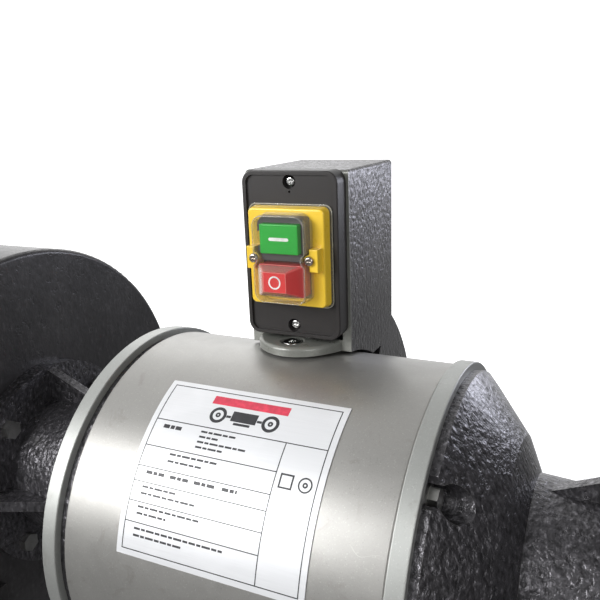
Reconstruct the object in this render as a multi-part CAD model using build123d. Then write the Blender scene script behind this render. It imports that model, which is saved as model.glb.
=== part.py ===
from build123d import *
import math
import os

# A double-ended bench grinder for 305 mm wheels. Lengths are in millimetres.
# +X runs along the arbor, -Y is the operator's side, +Z is up.
# The origin is the centre of the four base bolts, on the plane that the foot pads stand on.

# ---- driving dimensions -------------------------------------------------------------
AXIS_Z = 203.0            # arbor height
SHELL_R = 121.0           # outside radius of the motor shell
SHELL_WALL = 8.0
SHELL_END = 104.0         # half length of the shell
RING_R = 124.0            # flange rings beside the shell
RING_W = 10.7
RING_START_LEFT = 108.8   # the left ring stands off the shell by a dark groove
RING_START_RIGHT = 104.3
BELL_R = 118.8            # end bell disc
BELL_END = 120.0
BOLT_PITCH_R = 107.0      # end bell bolts
BOLT_SEAT_X = 114.0
BOLT_ANGLES = (42, 138, 222, 318)

STACK_HALF = 45.0         # half length of the laminated stack
STATOR_BORE = 64.6
ROTOR_R = 64.0
SLOTS = 24

BEARING_X = 128.0
BEARING_W = 18.0
BEARING_R = 40.0
BEARING_BORE = 20.0
BALL_PITCH_R = 30.0
BALL_R = 6.0
BALLS = 9

WHEEL_R = 152.5
WHEEL_W = 50.0
WHEEL_X = 255.0           # inner side of the wheel
ARBOR_R = 15.95
ARBOR_HOLE_R = 16.0
SHOULDER_X = 232.0        # shaft shoulder that the inner flange seats on
SHAFT_END = 338.0
FLANGE_R = 60.0
BLOTTER = 0.9

GUARD_R = 178.0
GUARD_WALL = 7.0
GUARD_X = 236.0           # motor side of the guard
GUARD_RIM_END = 340.0
COVER_T = 6.0
GUARD_TOP_ANGLE = 58.0    # wheel opening, from the horizontal, up and down
GUARD_LOW_ANGLE = 27.0
PORT_R = 38.0             # dust port
PORT_COLLAR_R = 42.0
PORT_COLLAR_END = 164.0
PORT_END = 195.0
PORT_DROP = 120.0
PORT_X = 291.0

REST_GAP = 4.0            # table to new wheel
TABLE_T = 8.0
TABLE_DEPTH = 68.0
PIVOT_DROP = 17.0         # table pivot under the table's top
PIVOT_Y = -200.0
PIN_R = 4.0
RUN = 0.05                # radial running clearance

SWITCH_Y = 4.5            # front plane of the switch plate
SWITCH_Z = 336.0          # lower edge of the switch plate
PLATE_HALF = 33.9
PLATE_H = 110.0
PLATE_D = 14.1
BOX_LEFT, BOX_RIGHT = -39.1, 35.7
BOX_BACK = 104.4
BOX_TOP = 445.3
SADDLE_IN, SADDLE_OUT = 123.0, 161.0
COVER_SCREW_X, COVER_SCREW_Z = 19.7, 55.5
START_Z, STOP_Z = 68.7, 41.7      # button centres above the plate's lower edge


# ---- small helpers ------------------------------------------------------------------
def block(x0, x1, y0, y1, z0, z1):
    """Box between two corners."""
    size = Box(abs(x1 - x0), abs(y1 - y0), abs(z1 - z0))
    return Pos((x0 + x1) / 2, (y0 + y1) / 2, (z0 + z1) / 2) * size


def x_cyl(r, x0, x1, y=0.0, z=AXIS_Z):
    """Round bar along X."""
    return Pos((x0 + x1) / 2, y, z) * Rot(0, 90, 0) * Cylinder(r, abs(x1 - x0))


def y_cyl(r, y0, y1, x, z):
    """Round bar along Y."""
    return Pos(x, (y0 + y1) / 2, z) * Rot(90, 0, 0) * Cylinder(r, abs(y1 - y0))


def z_cyl(r, z0, z1, x, y):
    """Round bar along Z."""
    return Pos(x, y, (z0 + z1) / 2) * Cylinder(r, abs(z1 - z0))


def turned(profile):
    """Solid of revolution about the arbor axis from (x, radius) points."""
    face = make_face(Polyline(*[(x, 0, r) for x, r in profile], close=True))
    return Pos(0, 0, AXIS_Z) * revolve(face, axis=Axis.X)


def sector(x0, x1, r0, r1, start, end):
    """Ring sector; angles from straight up, positive towards the operator."""
    corners = [(x0, 0, r0), (x1, 0, r0), (x1, 0, r1), (x0, 0, r1)]
    face = Rot(start, 0, 0) * make_face(Polyline(*corners, close=True))
    return Pos(0, 0, AXIS_Z) * revolve(face, axis=Axis.X, revolution_arc=end - start)


def x_prism(points, x0, x1):
    """Polygon in (y, z above the arbor), pushed along X."""
    face = make_face(Polyline(*[(x0, y, z) for y, z in points], close=True))
    return Pos(0, 0, AXIS_Z) * extrude(face, amount=x1 - x0, dir=(1, 0, 0))


def y_panel(half, z0, z1, corner, y, x=0.0):
    """Rounded rectangle standing in a plane of constant y."""
    plane = Plane(origin=(x, y, (z0 + z1) / 2), x_dir=(1, 0, 0), z_dir=(0, -1, 0))
    return plane * RectangleRounded(2 * half, z1 - z0, corner)


def y_plate(half, z0, z1, corner, y0, y1, x=0.0):
    """Rounded plate between two planes of constant y."""
    return extrude(y_panel(half, z0, z1, corner, y0, x), amount=y1 - y0, dir=(0, 1, 0))


def y_taper(front, back):
    """Loft between two panels, each (half width, z0, z1, corner, y)."""
    return loft([y_panel(*front), y_panel(*back)])


def hex_bar(across, length):
    """Hexagonal prism along Z, standing on the origin."""
    return extrude(RegularPolygon(across / 2, 6, major_radius=False), amount=length)


def polar(radius, angle):
    """(y, z) at an angle from straight up, positive towards the operator."""
    a = math.radians(angle)
    return -radius * math.sin(a), radius * math.cos(a)


def other_side(shape):
    """The same piece on the left-hand end."""
    return mirror(shape, about=Plane.YZ)


def both_sides(shapes):
    return shapes + [other_side(s) for s in shapes]


def switch(shape):
    """Moves a piece from the switch plate's frame to the grinder's."""
    return Pos(0, SWITCH_Y, SWITCH_Z) * shape


def solids_of(shapes):
    found = []
    for shape in shapes:
        found.extend(shape.solids())
    return found


def save(name, *shapes):
    solids = solids_of(shapes)
    body = solids[0] if len(solids) == 1 else Compound(solids)
    export_step(body, f"parts/{name}.step")


# ---- base ---------------------------------------------------------------------------
PAD_H = 8.0
FOOT_T = 16.0
FOOT_HALF_X, FOOT_HALF_Y = 135.0, 145.0
BASE_HOLE_X, BASE_HOLE_Y = 105.0, 115.0
BASE_HOLE_R = 6.5
CABLE_NOTCH_R = 13.0
PEDESTAL_TOP = 70.0
MOTOR_BOLT_X, MOTOR_BOLT_Y = 55.0, 38.0


def four_corners(x, y):
    return [(sx * x, sy * y) for sx in (-1, 1) for sy in (-1, 1)]


def base_casting():
    bottom = PAD_H + FOOT_T
    foot = block(-FOOT_HALF_X, FOOT_HALF_X, -FOOT_HALF_Y, FOOT_HALF_Y, PAD_H, bottom)
    foot = fillet(foot.edges().filter_by(Axis.Z), 28)
    foot = fillet(foot.edges().group_by(Axis.Z)[-1], 5)
    outer = loft([Plane.XY.offset(bottom - 4) * RectangleRounded(220, 226, 24),
                  Plane.XY.offset(PEDESTAL_TOP) * RectangleRounded(170, 130, 16)])
    inner = loft([Plane.XY.offset(PAD_H - 1) * RectangleRounded(210, 216, 20),
                  Plane.XY.offset(PEDESTAL_TOP - 12) * RectangleRounded(156, 116, 10)])
    base = foot - z_cyl(CABLE_NOTCH_R, 0, bottom + 1, EAR_X, GLAND_Y) + outer - inner
    for x, y in four_corners(BASE_HOLE_X, BASE_HOLE_Y):
        base = base + z_cyl(17, PAD_H, bottom + 3, x, y)
        base = base - z_cyl(BASE_HOLE_R, 0, bottom + 20, x, y)
        base = base - z_cyl(15, bottom + 3, bottom + 40, x, y)
    for x, y in four_corners(MOTOR_BOLT_X, MOTOR_BOLT_Y):
        base = base - z_cyl(5 + RUN, 40, PEDESTAL_TOP + 1, x, y)
    return base


def foot_pads():
    pads = []
    for x, y in four_corners(BASE_HOLE_X, BASE_HOLE_Y):
        pads.append(z_cyl(24, 0, PAD_H, x, y) - z_cyl(BASE_HOLE_R, -1, PAD_H + 1, x, y))
    return pads


def motor_bolts():
    head_top = PEDESTAL_TOP - 12
    bolts = []
    for x, y in four_corners(MOTOR_BOLT_X, MOTOR_BOLT_Y):
        head = Pos(x, y, head_top - 6.5) * hex_bar(17, 6.5)
        bolts.append(head + z_cyl(5, head_top, PEDESTAL_TOP + 16, x, y))
    return bolts


# ---- motor --------------------------------------------------------------------------
BOX_SCREWS = ((-2.6, 7.0, 327.5, 316.7), (-20.0, 60.0, 332.0, 302.8), (16.0, 60.0, 332.0, 302.8))
LEAD_HOLE_Y = 75.0


def motor_shell():
    shell = x_cyl(SHELL_R, -SHELL_END, SHELL_END)
    shell = fillet(shell.edges(), 1.2)
    shell = shell + block(-78, 78, -56, 56, PEDESTAL_TOP, PEDESTAL_TOP + 40)
    shell = shell - x_cyl(SHELL_R - SHELL_WALL, -SHELL_END - 1, SHELL_END + 1)
    inner = SHELL_R - SHELL_WALL
    for angle in BOLT_ANGLES:
        y, z = polar(BOLT_PITCH_R, angle)
        for side in (-1, 1):
            boss = x_cyl(9, side * 78, side * SHELL_END, y, AXIS_Z + z)
            boss = boss & x_cyl(inner + 1, -SHELL_END, SHELL_END)
            shell = shell + boss
            shell = shell - x_cyl(4 + RUN, side * 84, side * (SHELL_END + 1), y, AXIS_Z + z)
    for x, y in four_corners(MOTOR_BOLT_X, MOTOR_BOLT_Y):
        shell = shell - z_cyl(5 + RUN, PEDESTAL_TOP - 1, PEDESTAL_TOP + 16.1, x, y)
    for x, y, head, tip in BOX_SCREWS:
        shell = shell - z_cyl(4 + RUN, tip - 0.1, AXIS_Z + SADDLE_IN + 5, x, y)
    return shell - z_cyl(9, 285, 330, 0, LEAD_HOLE_Y)


def end_ring(start):
    ring = x_cyl(RING_R, start, start + RING_W)
    ring = fillet(ring.edges(), 0.8)
    return ring - x_cyl(BELL_R + 0.1, start - 1, start + RING_W + 1)


def end_bell():
    """Right-hand end bell: bolted disc, dome, bearing seat, neck and guard flange."""
    profile = [(104.2, BELL_R), (BELL_END, BELL_R), (126, 112), (150, 82), (160, 60), (223, 56),
               (223, 84), (GUARD_X - 0.2, 84), (GUARD_X - 0.2, 46), (157, 46), (157, 22),
               (BEARING_X + BEARING_W, 22), (BEARING_X + BEARING_W, BEARING_R),
               (BEARING_X - 1, BEARING_R), (BEARING_X - 1, 50), (136, 52), (136, 76), (113, 98),
               (104.2, 98)]
    bell = turned(profile)
    for angle in BOLT_ANGLES:
        y, z = polar(BOLT_PITCH_R, angle)
        seat = x_cyl(10, BOLT_SEAT_X, 160, y, AXIS_Z + z)
        y_out, z_out = polar(BOLT_PITCH_R + 16, angle)
        seat = seat + x_cyl(10, BOLT_SEAT_X, 160, y_out, AXIS_Z + z_out)
        bell = bell - seat - x_cyl(4 + RUN, 100, 130, y, AXIS_Z + z)
    for angle in (45, 135, 225, 315):
        y, z = polar(70, angle)
        bell = bell - x_cyl(4 + RUN, 220, 240, y, AXIS_Z + z)
    web = make_face(Polyline((158, 4, 50), (223.5, 4, 50), (223.5, 4, 82), (166, 4, 58), close=True))
    rib = Pos(0, 0, AXIS_Z) * extrude(web, amount=8, dir=(0, -1, 0))
    for angle in (0, 90, 180, 270):
        bell = bell + rib.rotate(Axis((0, 0, AXIS_Z), (1, 0, 0)), angle)
    return bell


def end_bell_bolts():
    bolts = []
    for angle in BOLT_ANGLES:
        y, z = polar(BOLT_PITCH_R, angle)
        z += AXIS_Z
        washer = x_cyl(8.5, BOLT_SEAT_X, BOLT_SEAT_X + 1.6, y, z) - x_cyl(4.2, 100, 130, y, z)
        head = Pos(BOLT_SEAT_X + 1.6, y, z) * Rot(0, 90, 0) * hex_bar(13, 5.3)
        bolts += [washer, head + x_cyl(4, 84.5, BOLT_SEAT_X + 1.6, y, z)]
    return both_sides(bolts)


def stator_core():
    core = x_cyl(SHELL_R - SHELL_WALL, -STACK_HALF, STACK_HALF)
    core = core - x_cyl(STATOR_BORE, -STACK_HALF - 1, STACK_HALF + 1)
    step = 360 / SLOTS
    slot = x_prism([(-3.5, 68), (3.5, 68), (3.5, 92), (-3.5, 92)], -STACK_HALF - 1, STACK_HALF + 1)
    mouth = x_prism([(-1.2, 60), (1.2, 60), (1.2, 70), (-1.2, 70)], -STACK_HALF - 1, STACK_HALF + 1)
    axis = Axis((0, 0, AXIS_Z), (1, 0, 0))
    cuts = [(slot + mouth).rotate(axis, i * step) for i in range(SLOTS)]
    core = core - cuts
    reach = math.degrees(math.asin(LEAD_HOLE_Y / SHELL_R))
    notch = x_prism([(-9, 104), (9, 104), (9, 116), (-9, 116)], -STACK_HALF - 1, STACK_HALF + 1)
    return core - notch.rotate(axis, -reach)


def stator_windings():
    """Coil sides in the slots, joined by the two lacquered coil heads."""
    coil = turned([(STACK_HALF + 0.5, 70), (STACK_HALF + 0.5, 100), (STACK_HALF + 22, 104),
                   (STACK_HALF + 28, 98), (STACK_HALF + 28, 78), (STACK_HALF + 22, 70)])
    other = other_side(coil)
    axis = Axis((0, 0, AXIS_Z), (1, 0, 0))
    half = STACK_HALF + 1
    side = x_prism([(-3.1, 70.5), (3.1, 70.5), (3.1, 91.5), (-3.1, 91.5)], -half, half)
    sides = [side.rotate(axis, i * 360 / SLOTS) for i in range(SLOTS)]
    return coil + other + sides


def bearing_outer_rings():
    ring = x_cyl(BEARING_R, BEARING_X, BEARING_X + BEARING_W)
    ring = ring - x_cyl(33.5, BEARING_X - 1, BEARING_X + BEARING_W + 1)
    return both_sides([ring - ball_groove()])


def bearing_inner_rings():
    ring = x_cyl(26.5, BEARING_X, BEARING_X + BEARING_W)
    ring = ring - x_cyl(BEARING_BORE, BEARING_X - 1, BEARING_X + BEARING_W + 1)
    return both_sides([ring - ball_groove()])


def ball_groove():
    groove = Torus(BALL_PITCH_R, BALL_R + RUN)
    return Pos(BEARING_X + BEARING_W / 2, 0, AXIS_Z) * Rot(0, 90, 0) * groove


def bearing_balls():
    balls = []
    for i in range(BALLS):
        y, z = polar(BALL_PITCH_R, i * 360 / BALLS)
        balls.append(Pos(BEARING_X + BEARING_W / 2, y, AXIS_Z + z) * Sphere(BALL_R))
    return both_sides(balls)


def rotor_core():
    return x_cyl(ROTOR_R, -STACK_HALF, STACK_HALF) - x_cyl(24, -STACK_HALF - 1, STACK_HALF + 1)


def rotor_cage():
    """Cast aluminium end rings with stub fins."""
    ring = turned([(STACK_HALF, 44), (STACK_HALF, 62), (STACK_HALF + 12, 61), (STACK_HALF + 12, 45)])
    axis = Axis((0, 0, AXIS_Z), (1, 0, 0))
    fin = block(STACK_HALF + 11, STACK_HALF + 24, -2, 2, AXIS_Z + 46, AXIS_Z + 60)
    ring = ring + [fin.rotate(axis, i * 45) for i in range(8)]
    return both_sides([ring])


def arbor_shaft():
    right = [(0, 0), (0, 24), (60, 24), (60, 23), (BEARING_X - 1, 23), (BEARING_X - 1, BEARING_BORE),
             (BEARING_X + BEARING_W, BEARING_BORE), (BEARING_X + BEARING_W, 19.5),
             (SHOULDER_X, 19.5), (SHOULDER_X, ARBOR_R), (SHAFT_END - 2, ARBOR_R),
             (SHAFT_END, ARBOR_R - 2), (SHAFT_END, 0)]
    left = [(-x, r) for x, r in reversed(right)][1:-1]
    return turned(right[1:] + left)


# ---- wheels -------------------------------------------------------------------------
FLANGE_IN = WHEEL_X - BLOTTER
WHEEL_OUT = WHEEL_X + WHEEL_W
NUT_X = WHEEL_OUT + BLOTTER + 14


def grinding_wheel():
    wheel = x_cyl(WHEEL_R, WHEEL_X, WHEEL_OUT)
    wheel = chamfer(wheel.edges(), 1.0)
    return wheel - x_cyl(ARBOR_HOLE_R, WHEEL_X - 1, WHEEL_OUT + 1)


def wheel_flanges():
    inner = turned([(SHOULDER_X, ARBOR_HOLE_R), (SHOULDER_X, 30), (245, 30), (245, 54), (248, FLANGE_R),
                    (FLANGE_IN, FLANGE_R), (FLANGE_IN, 50), (FLANGE_IN - 1.5, 50),
                    (FLANGE_IN - 1.5, ARBOR_HOLE_R)])
    start = WHEEL_OUT + BLOTTER
    outer = turned([(start, 50), (start, FLANGE_R), (start + 6, FLANGE_R), (start + 9, 54), (start + 10, 30),
                    (NUT_X, 30), (NUT_X, ARBOR_HOLE_R), (start + 1.5, ARBOR_HOLE_R), (start + 1.5, 50)])
    return both_sides([inner, outer])


def wheel_blotters():
    disc = x_cyl(62, FLANGE_IN, WHEEL_X) - x_cyl(ARBOR_HOLE_R + 0.2, FLANGE_IN - 1, WHEEL_X + 1)
    other = Pos(WHEEL_W + BLOTTER, 0, 0) * disc
    return both_sides([disc, other])


def arbor_nuts():
    nut = Pos(NUT_X, 0, AXIS_Z) * Rot(0, 90, 0) * hex_bar(46, 15)
    nut = nut & turned([(NUT_X, 0), (NUT_X, 25.5), (NUT_X + 1, 26.5), (NUT_X + 13, 26.5), (NUT_X + 15, 23.5),
                        (NUT_X + 15, 0)])
    return both_sides([nut - x_cyl(ARBOR_R + RUN, NUT_X - 1, NUT_X + 16)])


# ---- wheel guards -------------------------------------------------------------------
COVER_SCREW_ANGLES = (15, -38, -90, -143, 165)   # from straight up, positive to the front
COVER_SCREW_R = 168.0


def opening_prism(x0, x1):
    """The sector that the guard leaves open at the front."""
    def ray(radius, angle):
        a = math.radians(angle)
        return -radius * math.cos(a), radius * math.sin(a)
    points = [ray(150, GUARD_TOP_ANGLE), ray(262, GUARD_TOP_ANGLE), (-300, 222), (-300, -150),
              ray(240, -GUARD_LOW_ANGLE), ray(150, -GUARD_LOW_ANGLE), (-112, -40), (-97, 60)]
    return x_prism(points, x0, x1)


def arrestor_frame(shape):
    """Places a piece drawn with X across, Y along the rim and Z outwards at the opening's top edge."""
    return Pos(0, 0, AXIS_Z) * Rot(90 - GUARD_TOP_ANGLE, 0, 0) * shape


ARRESTOR_SCREW_X = (270.0, 312.0)
ARRESTOR_SCREW_R = 190.0
ARM_SCREWS = ((-115.0, -90.0), (-140.0, -90.0))
SHIELD_SCREWS = ((-55.0, 131.0), (-68.0, 152.0))


def guard():
    """Right-hand guard casting: back wall, rim, bosses, dust port and pads."""
    body = x_cyl(GUARD_R, GUARD_X, GUARD_RIM_END)
    body = fillet(body.edges().group_by(Axis.X)[0], 4)
    body = body + y_cyl(PORT_COLLAR_R, 95, PORT_COLLAR_END, PORT_X, AXIS_Z - PORT_DROP)
    body = body + y_cyl(PORT_R, PORT_COLLAR_END, PORT_END, PORT_X, AXIS_Z - PORT_DROP)
    body = body - x_cyl(GUARD_R - GUARD_WALL, GUARD_X + GUARD_WALL, GUARD_RIM_END + 1)
    body = body - y_cyl(PORT_R - 4, 100, PORT_END + 1, PORT_X, AXIS_Z - PORT_DROP)
    for angle in COVER_SCREW_ANGLES:
        y, z = polar(COVER_SCREW_R, angle)
        boss = x_cyl(7, GUARD_X + 3, GUARD_RIM_END, y, AXIS_Z + z) & x_cyl(GUARD_R, GUARD_X, GUARD_RIM_END)
        body = body + boss - x_cyl(3 + RUN, 318, 345, y, AXIS_Z + z)
    body = body - opening_prism(GUARD_X - 1, GUARD_RIM_END + 1)
    pad = arrestor_frame(block(250, 336, 0, 12, 170, 206))
    pad = pad - x_cyl(GUARD_R - GUARD_WALL, GUARD_X, GUARD_RIM_END + 1)
    body = body + pad
    for x in ARRESTOR_SCREW_X:
        body = body - arrestor_frame(y_cyl(3 + RUN, -1, 13, x, ARRESTOR_SCREW_R))
    for y, z in ARM_SCREWS:
        body = body - x_cyl(4 + RUN, GUARD_X - 1, 244, y, AXIS_Z + z)
    for y, z in SHIELD_SCREWS:
        body = body - x_cyl(3 + RUN, GUARD_X - 1, 244, y, AXIS_Z + z)
    for angle in (45, 135, 225, 315):
        y, z = polar(70, angle)
        body = body - x_cyl(4 + RUN, GUARD_X - 1, 244, y, AXIS_Z + z)
    return body - x_cyl(34, GUARD_X - 1, 244)


def guard_cover():
    cover = x_cyl(GUARD_R, GUARD_RIM_END + 0.2, GUARD_RIM_END + 0.2 + COVER_T)
    cover = fillet(cover.edges().group_by(Axis.X)[-1], 2.5)
    cover = cover + x_cyl(46, GUARD_RIM_END + 3, GUARD_RIM_END + COVER_T + 5)
    cover = cover - x_cyl(40, GUARD_RIM_END - 1, GUARD_RIM_END + COVER_T)
    for angle in COVER_SCREW_ANGLES:
        y, z = polar(COVER_SCREW_R, angle)
        cover = cover - x_cyl(3 + RUN, 339, 350, y, AXIS_Z + z)
    return cover - opening_prism(GUARD_RIM_END - 1, GUARD_RIM_END + 20)


def guard_cover_screws():
    seat = GUARD_RIM_END + 0.2 + COVER_T
    screws = []
    for angle in COVER_SCREW_ANGLES:
        y, z = polar(COVER_SCREW_R, angle)
        z += AXIS_Z
        head = Pos(seat, y, z) * Rot(0, 90, 0) * hex_bar(10, 4)
        screws.append(head + x_cyl(3, 320, seat, y, z))
    return both_sides(screws)


def guard_bolts():
    bolts = []
    for angle in (45, 135, 225, 315):
        y, z = polar(70, angle)
        head = Pos(217.7, y, AXIS_Z + z) * Rot(0, 90, 0) * hex_bar(13, 5.3)
        bolts.append(head + x_cyl(4, 223, 242.8, y, AXIS_Z + z))
    return both_sides(bolts)


# ---- tool rests ---------------------------------------------------------------------
ARM_X0, ARM_X1 = 226.0, 235.6
ARM_Z0, ARM_Z1 = AXIS_Z - 105, AXIS_Z - 75
ARM_FRONT = -215.0
PIVOT_Z = AXIS_Z - PIVOT_DROP
LUG_X = (262.0, 308.0)
LUG_T = 8.0


def rest_arm():
    """Slotted strap with a crossbar and two lugs for the table's pivot."""
    arm = block(ARM_X0, ARM_X1, ARM_FRONT, -72, ARM_Z0, ARM_Z1)
    slot = block(ARM_X0 - 1, ARM_X1 + 1, -140, -90, ARM_Z0 + 10.5, ARM_Z0 + 19.5)
    slot = slot + x_cyl(4.5, ARM_X0 - 1, ARM_X1 + 1, -140, ARM_Z0 + 15)
    slot = slot + x_cyl(4.5, ARM_X0 - 1, ARM_X1 + 1, -90, ARM_Z0 + 15)
    arm = arm + block(ARM_X0, 332, ARM_FRONT, ARM_FRONT + 18, ARM_Z0, ARM_Z0 + 25) - slot
    for x in LUG_X:
        lug = block(x, x + LUG_T, PIVOT_Y - 7, PIVOT_Y + 7, ARM_Z0 + 20, PIVOT_Z)
        foot = block(x, x + LUG_T, ARM_FRONT, PIVOT_Y + 7, ARM_Z0, ARM_Z0 + 30)
        lug = lug + foot + x_cyl(7, x, x + LUG_T, PIVOT_Y, PIVOT_Z)
        arm = arm + lug - x_cyl(PIN_R + RUN, x - 1, x + LUG_T + 1, PIVOT_Y, PIVOT_Z)
    return arm


def rest_pivot():
    """Pivot bolt with its nut."""
    x0, x1 = LUG_X[0], LUG_X[1] + LUG_T
    head = Pos(x0 - 5.4, PIVOT_Y, PIVOT_Z) * Rot(0, 90, 0) * hex_bar(13, 5.3)
    bolt = head + x_cyl(PIN_R, x0 - 0.1, x1 + 8, PIVOT_Y, PIVOT_Z)
    nut = Pos(x1 + 0.1, PIVOT_Y, PIVOT_Z) * Rot(0, 90, 0) * hex_bar(13, 6.5)
    return [bolt, nut - x_cyl(PIN_R + RUN, x1 - 1, x1 + 9, PIVOT_Y, PIVOT_Z)]


def rest_table():
    back = -(WHEEL_R + REST_GAP)
    table = block(240, 340, back - TABLE_DEPTH, back, AXIS_Z - TABLE_T, AXIS_Z)
    table = fillet(table.edges().filter_by(Axis.Z), 4)
    table = chamfer(table.edges().group_by(Axis.Z)[-1], 0.8)
    x0, x1 = LUG_X[0] + LUG_T + 0.5, LUG_X[1] - 0.5
    lug = block(x0, x1, PIVOT_Y - 7, PIVOT_Y + 7, PIVOT_Z, AXIS_Z - TABLE_T + 1)
    lug = lug + x_cyl(7, x0, x1, PIVOT_Y, PIVOT_Z)
    return table + lug - x_cyl(PIN_R + RUN, x0 - 1, x1 + 1, PIVOT_Y, PIVOT_Z)


def rest_clamp_screws():
    screws = []
    for y, z in ARM_SCREWS:
        z += AXIS_Z
        washer = x_cyl(9, ARM_X0 - 1.9, ARM_X0 - 0.3, y, z) - x_cyl(4.2, 200, 240, y, z)
        head = Pos(ARM_X0 - 7.2, y, z) * Rot(0, 90, 0) * hex_bar(13, 5.3)
        screws += [washer, head + x_cyl(4, ARM_X0 - 2, 242.8, y, z)]
    return both_sides(screws)


# ---- spark arrestors and eye shields ------------------------------------------------
ARRESTOR_T = 4.0
ARRESTOR_LOW = WHEEL_R + 3


def spark_arrestor():
    """Slotted plate that closes the gap over the wheel."""
    front = -0.3
    plate = block(253, 329, front - ARRESTOR_T, front, ARRESTOR_LOW, 212)
    for x in ARRESTOR_SCREW_X:
        low, high = ARRESTOR_SCREW_R - 21, ARRESTOR_SCREW_R + 1
        slot = block(x - 3.4, x + 3.4, -6, 1, low, high)
        plate = plate - slot - y_cyl(3.4, -6, 1, x, low) - y_cyl(3.4, -6, 1, x, high)
    lip = block(253, 329, front - 16, front, 212, 215)
    return arrestor_frame(plate + lip)


ROD_Y, ROD_Z = -118.0, AXIS_Z + 232
ROD_R = 5.0
SHIELD_TILT = 42.0
STRAP_X0, STRAP_X1 = 229.5, 235.7


def shield_arm():
    """Strap with the eye shield's hinge rod."""
    low_y, low_z = -50.0, 122.0
    run, rise = ROD_Y - low_y, ROD_Z - AXIS_Z - low_z
    length = math.hypot(run, rise)
    angle = math.degrees(math.atan2(-run, rise))
    strap = block(STRAP_X0, STRAP_X1, -9, 9, 0, length)
    strap = strap + x_cyl(9, STRAP_X0, STRAP_X1, 0, 0) + x_cyl(9, STRAP_X0, STRAP_X1, 0, length)
    strap = Pos(0, low_y, AXIS_Z + low_z) * Rot(angle, 0, 0) * strap
    for y, z in SHIELD_SCREWS:
        strap = strap - x_cyl(3 + RUN, STRAP_X0 - 1, STRAP_X1 + 1, y, AXIS_Z + z)
    return strap + x_cyl(ROD_R, STRAP_X0 + 1, 341, ROD_Y, ROD_Z)


def shield_frame():
    """Clamp tube on the rod with the channel that grips the lens."""
    x0, x1 = 242.0, 338.0
    channel = block(x0, x1, -30, -4, -4.5, 4.5) - block(x0 - 1, x1 + 1, -31, -14, -1.6, 1.6)
    tube = x_cyl(10, x0, x1, 0, 0) + channel - x_cyl(ROD_R + RUN, x0 - 1, x1 + 1, 0, 0)
    return shield_place(tube)


def shield_lens():
    lens = block(228, 352, -125, -14.2, -1.5, 1.5)
    corners = lens.edges().filter_by(Axis.Z).group_by(Axis.Y)[0]
    return shield_place(fillet(corners, 12))


def shield_place(shape):
    return Pos(0, ROD_Y, ROD_Z) * Rot(SHIELD_TILT, 0, 0) * shape


def guard_fitting_screws():
    screws = []
    for x in ARRESTOR_SCREW_X:
        head = Pos(x, -0.3 - ARRESTOR_T - 0.2, ARRESTOR_SCREW_R) * Rot(90, 0, 0) * hex_bar(10, 4)
        shank = y_cyl(3, -0.3 - ARRESTOR_T - 0.3, 11.5, x, ARRESTOR_SCREW_R)
        screws.append(arrestor_frame(head + shank))
    for y, z in SHIELD_SCREWS:
        head = Pos(STRAP_X0 - 4, y, AXIS_Z + z) * Rot(0, 90, 0) * hex_bar(10, 4)
        screws.append(head + x_cyl(3, STRAP_X0 - 0.1, 242.8, y, AXIS_Z + z))
    return both_sides(screws)


# ---- switch box ---------------------------------------------------------------------
EAR_X, EAR_Y, EAR_R = -1.7, 22.5, 30.5
EAR_TOP = 332.0
EAR_SEAT_R = 7.2
GLAND_Y = 142.0


def switch_box():
    """Cast box with a front ear and a hollow saddle leg that runs down behind the motor."""
    box = block(BOX_LEFT, BOX_RIGHT, SWITCH_Y + PLATE_D, BOX_BACK, 310, BOX_TOP)
    box = fillet(box.edges().filter_by(Axis.Z).group_by(Axis.Y)[-1], 2)
    box = fillet(box.edges().group_by(Axis.Z)[-1], 2.5)
    leg = sector(BOX_LEFT, BOX_RIGHT, SADDLE_IN, SADDLE_OUT, -90, -36)
    ear = z_cyl(EAR_R, 316, EAR_TOP, EAR_X, EAR_Y)
    ear = fillet(ear.edges().group_by(Axis.Z)[-1], 2.5)
    body = box + leg + ear - x_cyl(SADDLE_IN, -60, 60)
    cavity = block(BOX_LEFT + 6, BOX_RIGHT - 6, SWITCH_Y, BOX_BACK - 7.5, EAR_TOP, BOX_TOP - 6)
    duct = sector(BOX_LEFT + 6, BOX_RIGHT - 6, SADDLE_IN + 6, SADDLE_OUT - 6, -87.5, -33)
    body = body - cavity - duct
    low = block(-6, 6, SWITCH_Y + PLATE_D, 34, EAR_TOP - 1, EAR_TOP + 17)
    high = block(-6, 6, SWITCH_Y + PLATE_D, 34, BOX_TOP - 14, BOX_TOP - 5)
    body = body + low + high
    for z in PLATE_SCREW_Z:
        body = body - y_cyl(2 + RUN, 10, 32, 0, SWITCH_Z + z)
    for x, y, head, tip in BOX_SCREWS:
        body = body - z_cyl(4 + RUN, tip, EAR_TOP + 1, x, y)
    front_x, front_y, front_head, front_tip = BOX_SCREWS[0]
    body = body - z_cyl(EAR_SEAT_R, front_head, EAR_TOP + 1, front_x, front_y)
    body = body - Pos(front_x, front_y, EAR_TOP - 0.6) * Cone(EAR_SEAT_R, EAR_SEAT_R + 1.5, 1.4)
    body = body - z_cyl(9, 290, EAR_TOP + 1, 0, LEAD_HOLE_Y)
    return body - z_cyl(10 + RUN, AXIS_Z - 2, AXIS_Z + 12, EAR_X, GLAND_Y)


def switch_box_screws():
    screws = []
    for x, y, head, tip in BOX_SCREWS:
        cap = fillet(z_cyl(6.4, head, head + 4.2, x, y).edges().group_by(Axis.Z)[-1], 0.6)
        socket = Pos(x, y, head + 1.8) * hex_bar(5, 3)
        screws.append(cap - socket + z_cyl(4, tip, head, x, y))
    return screws


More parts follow.
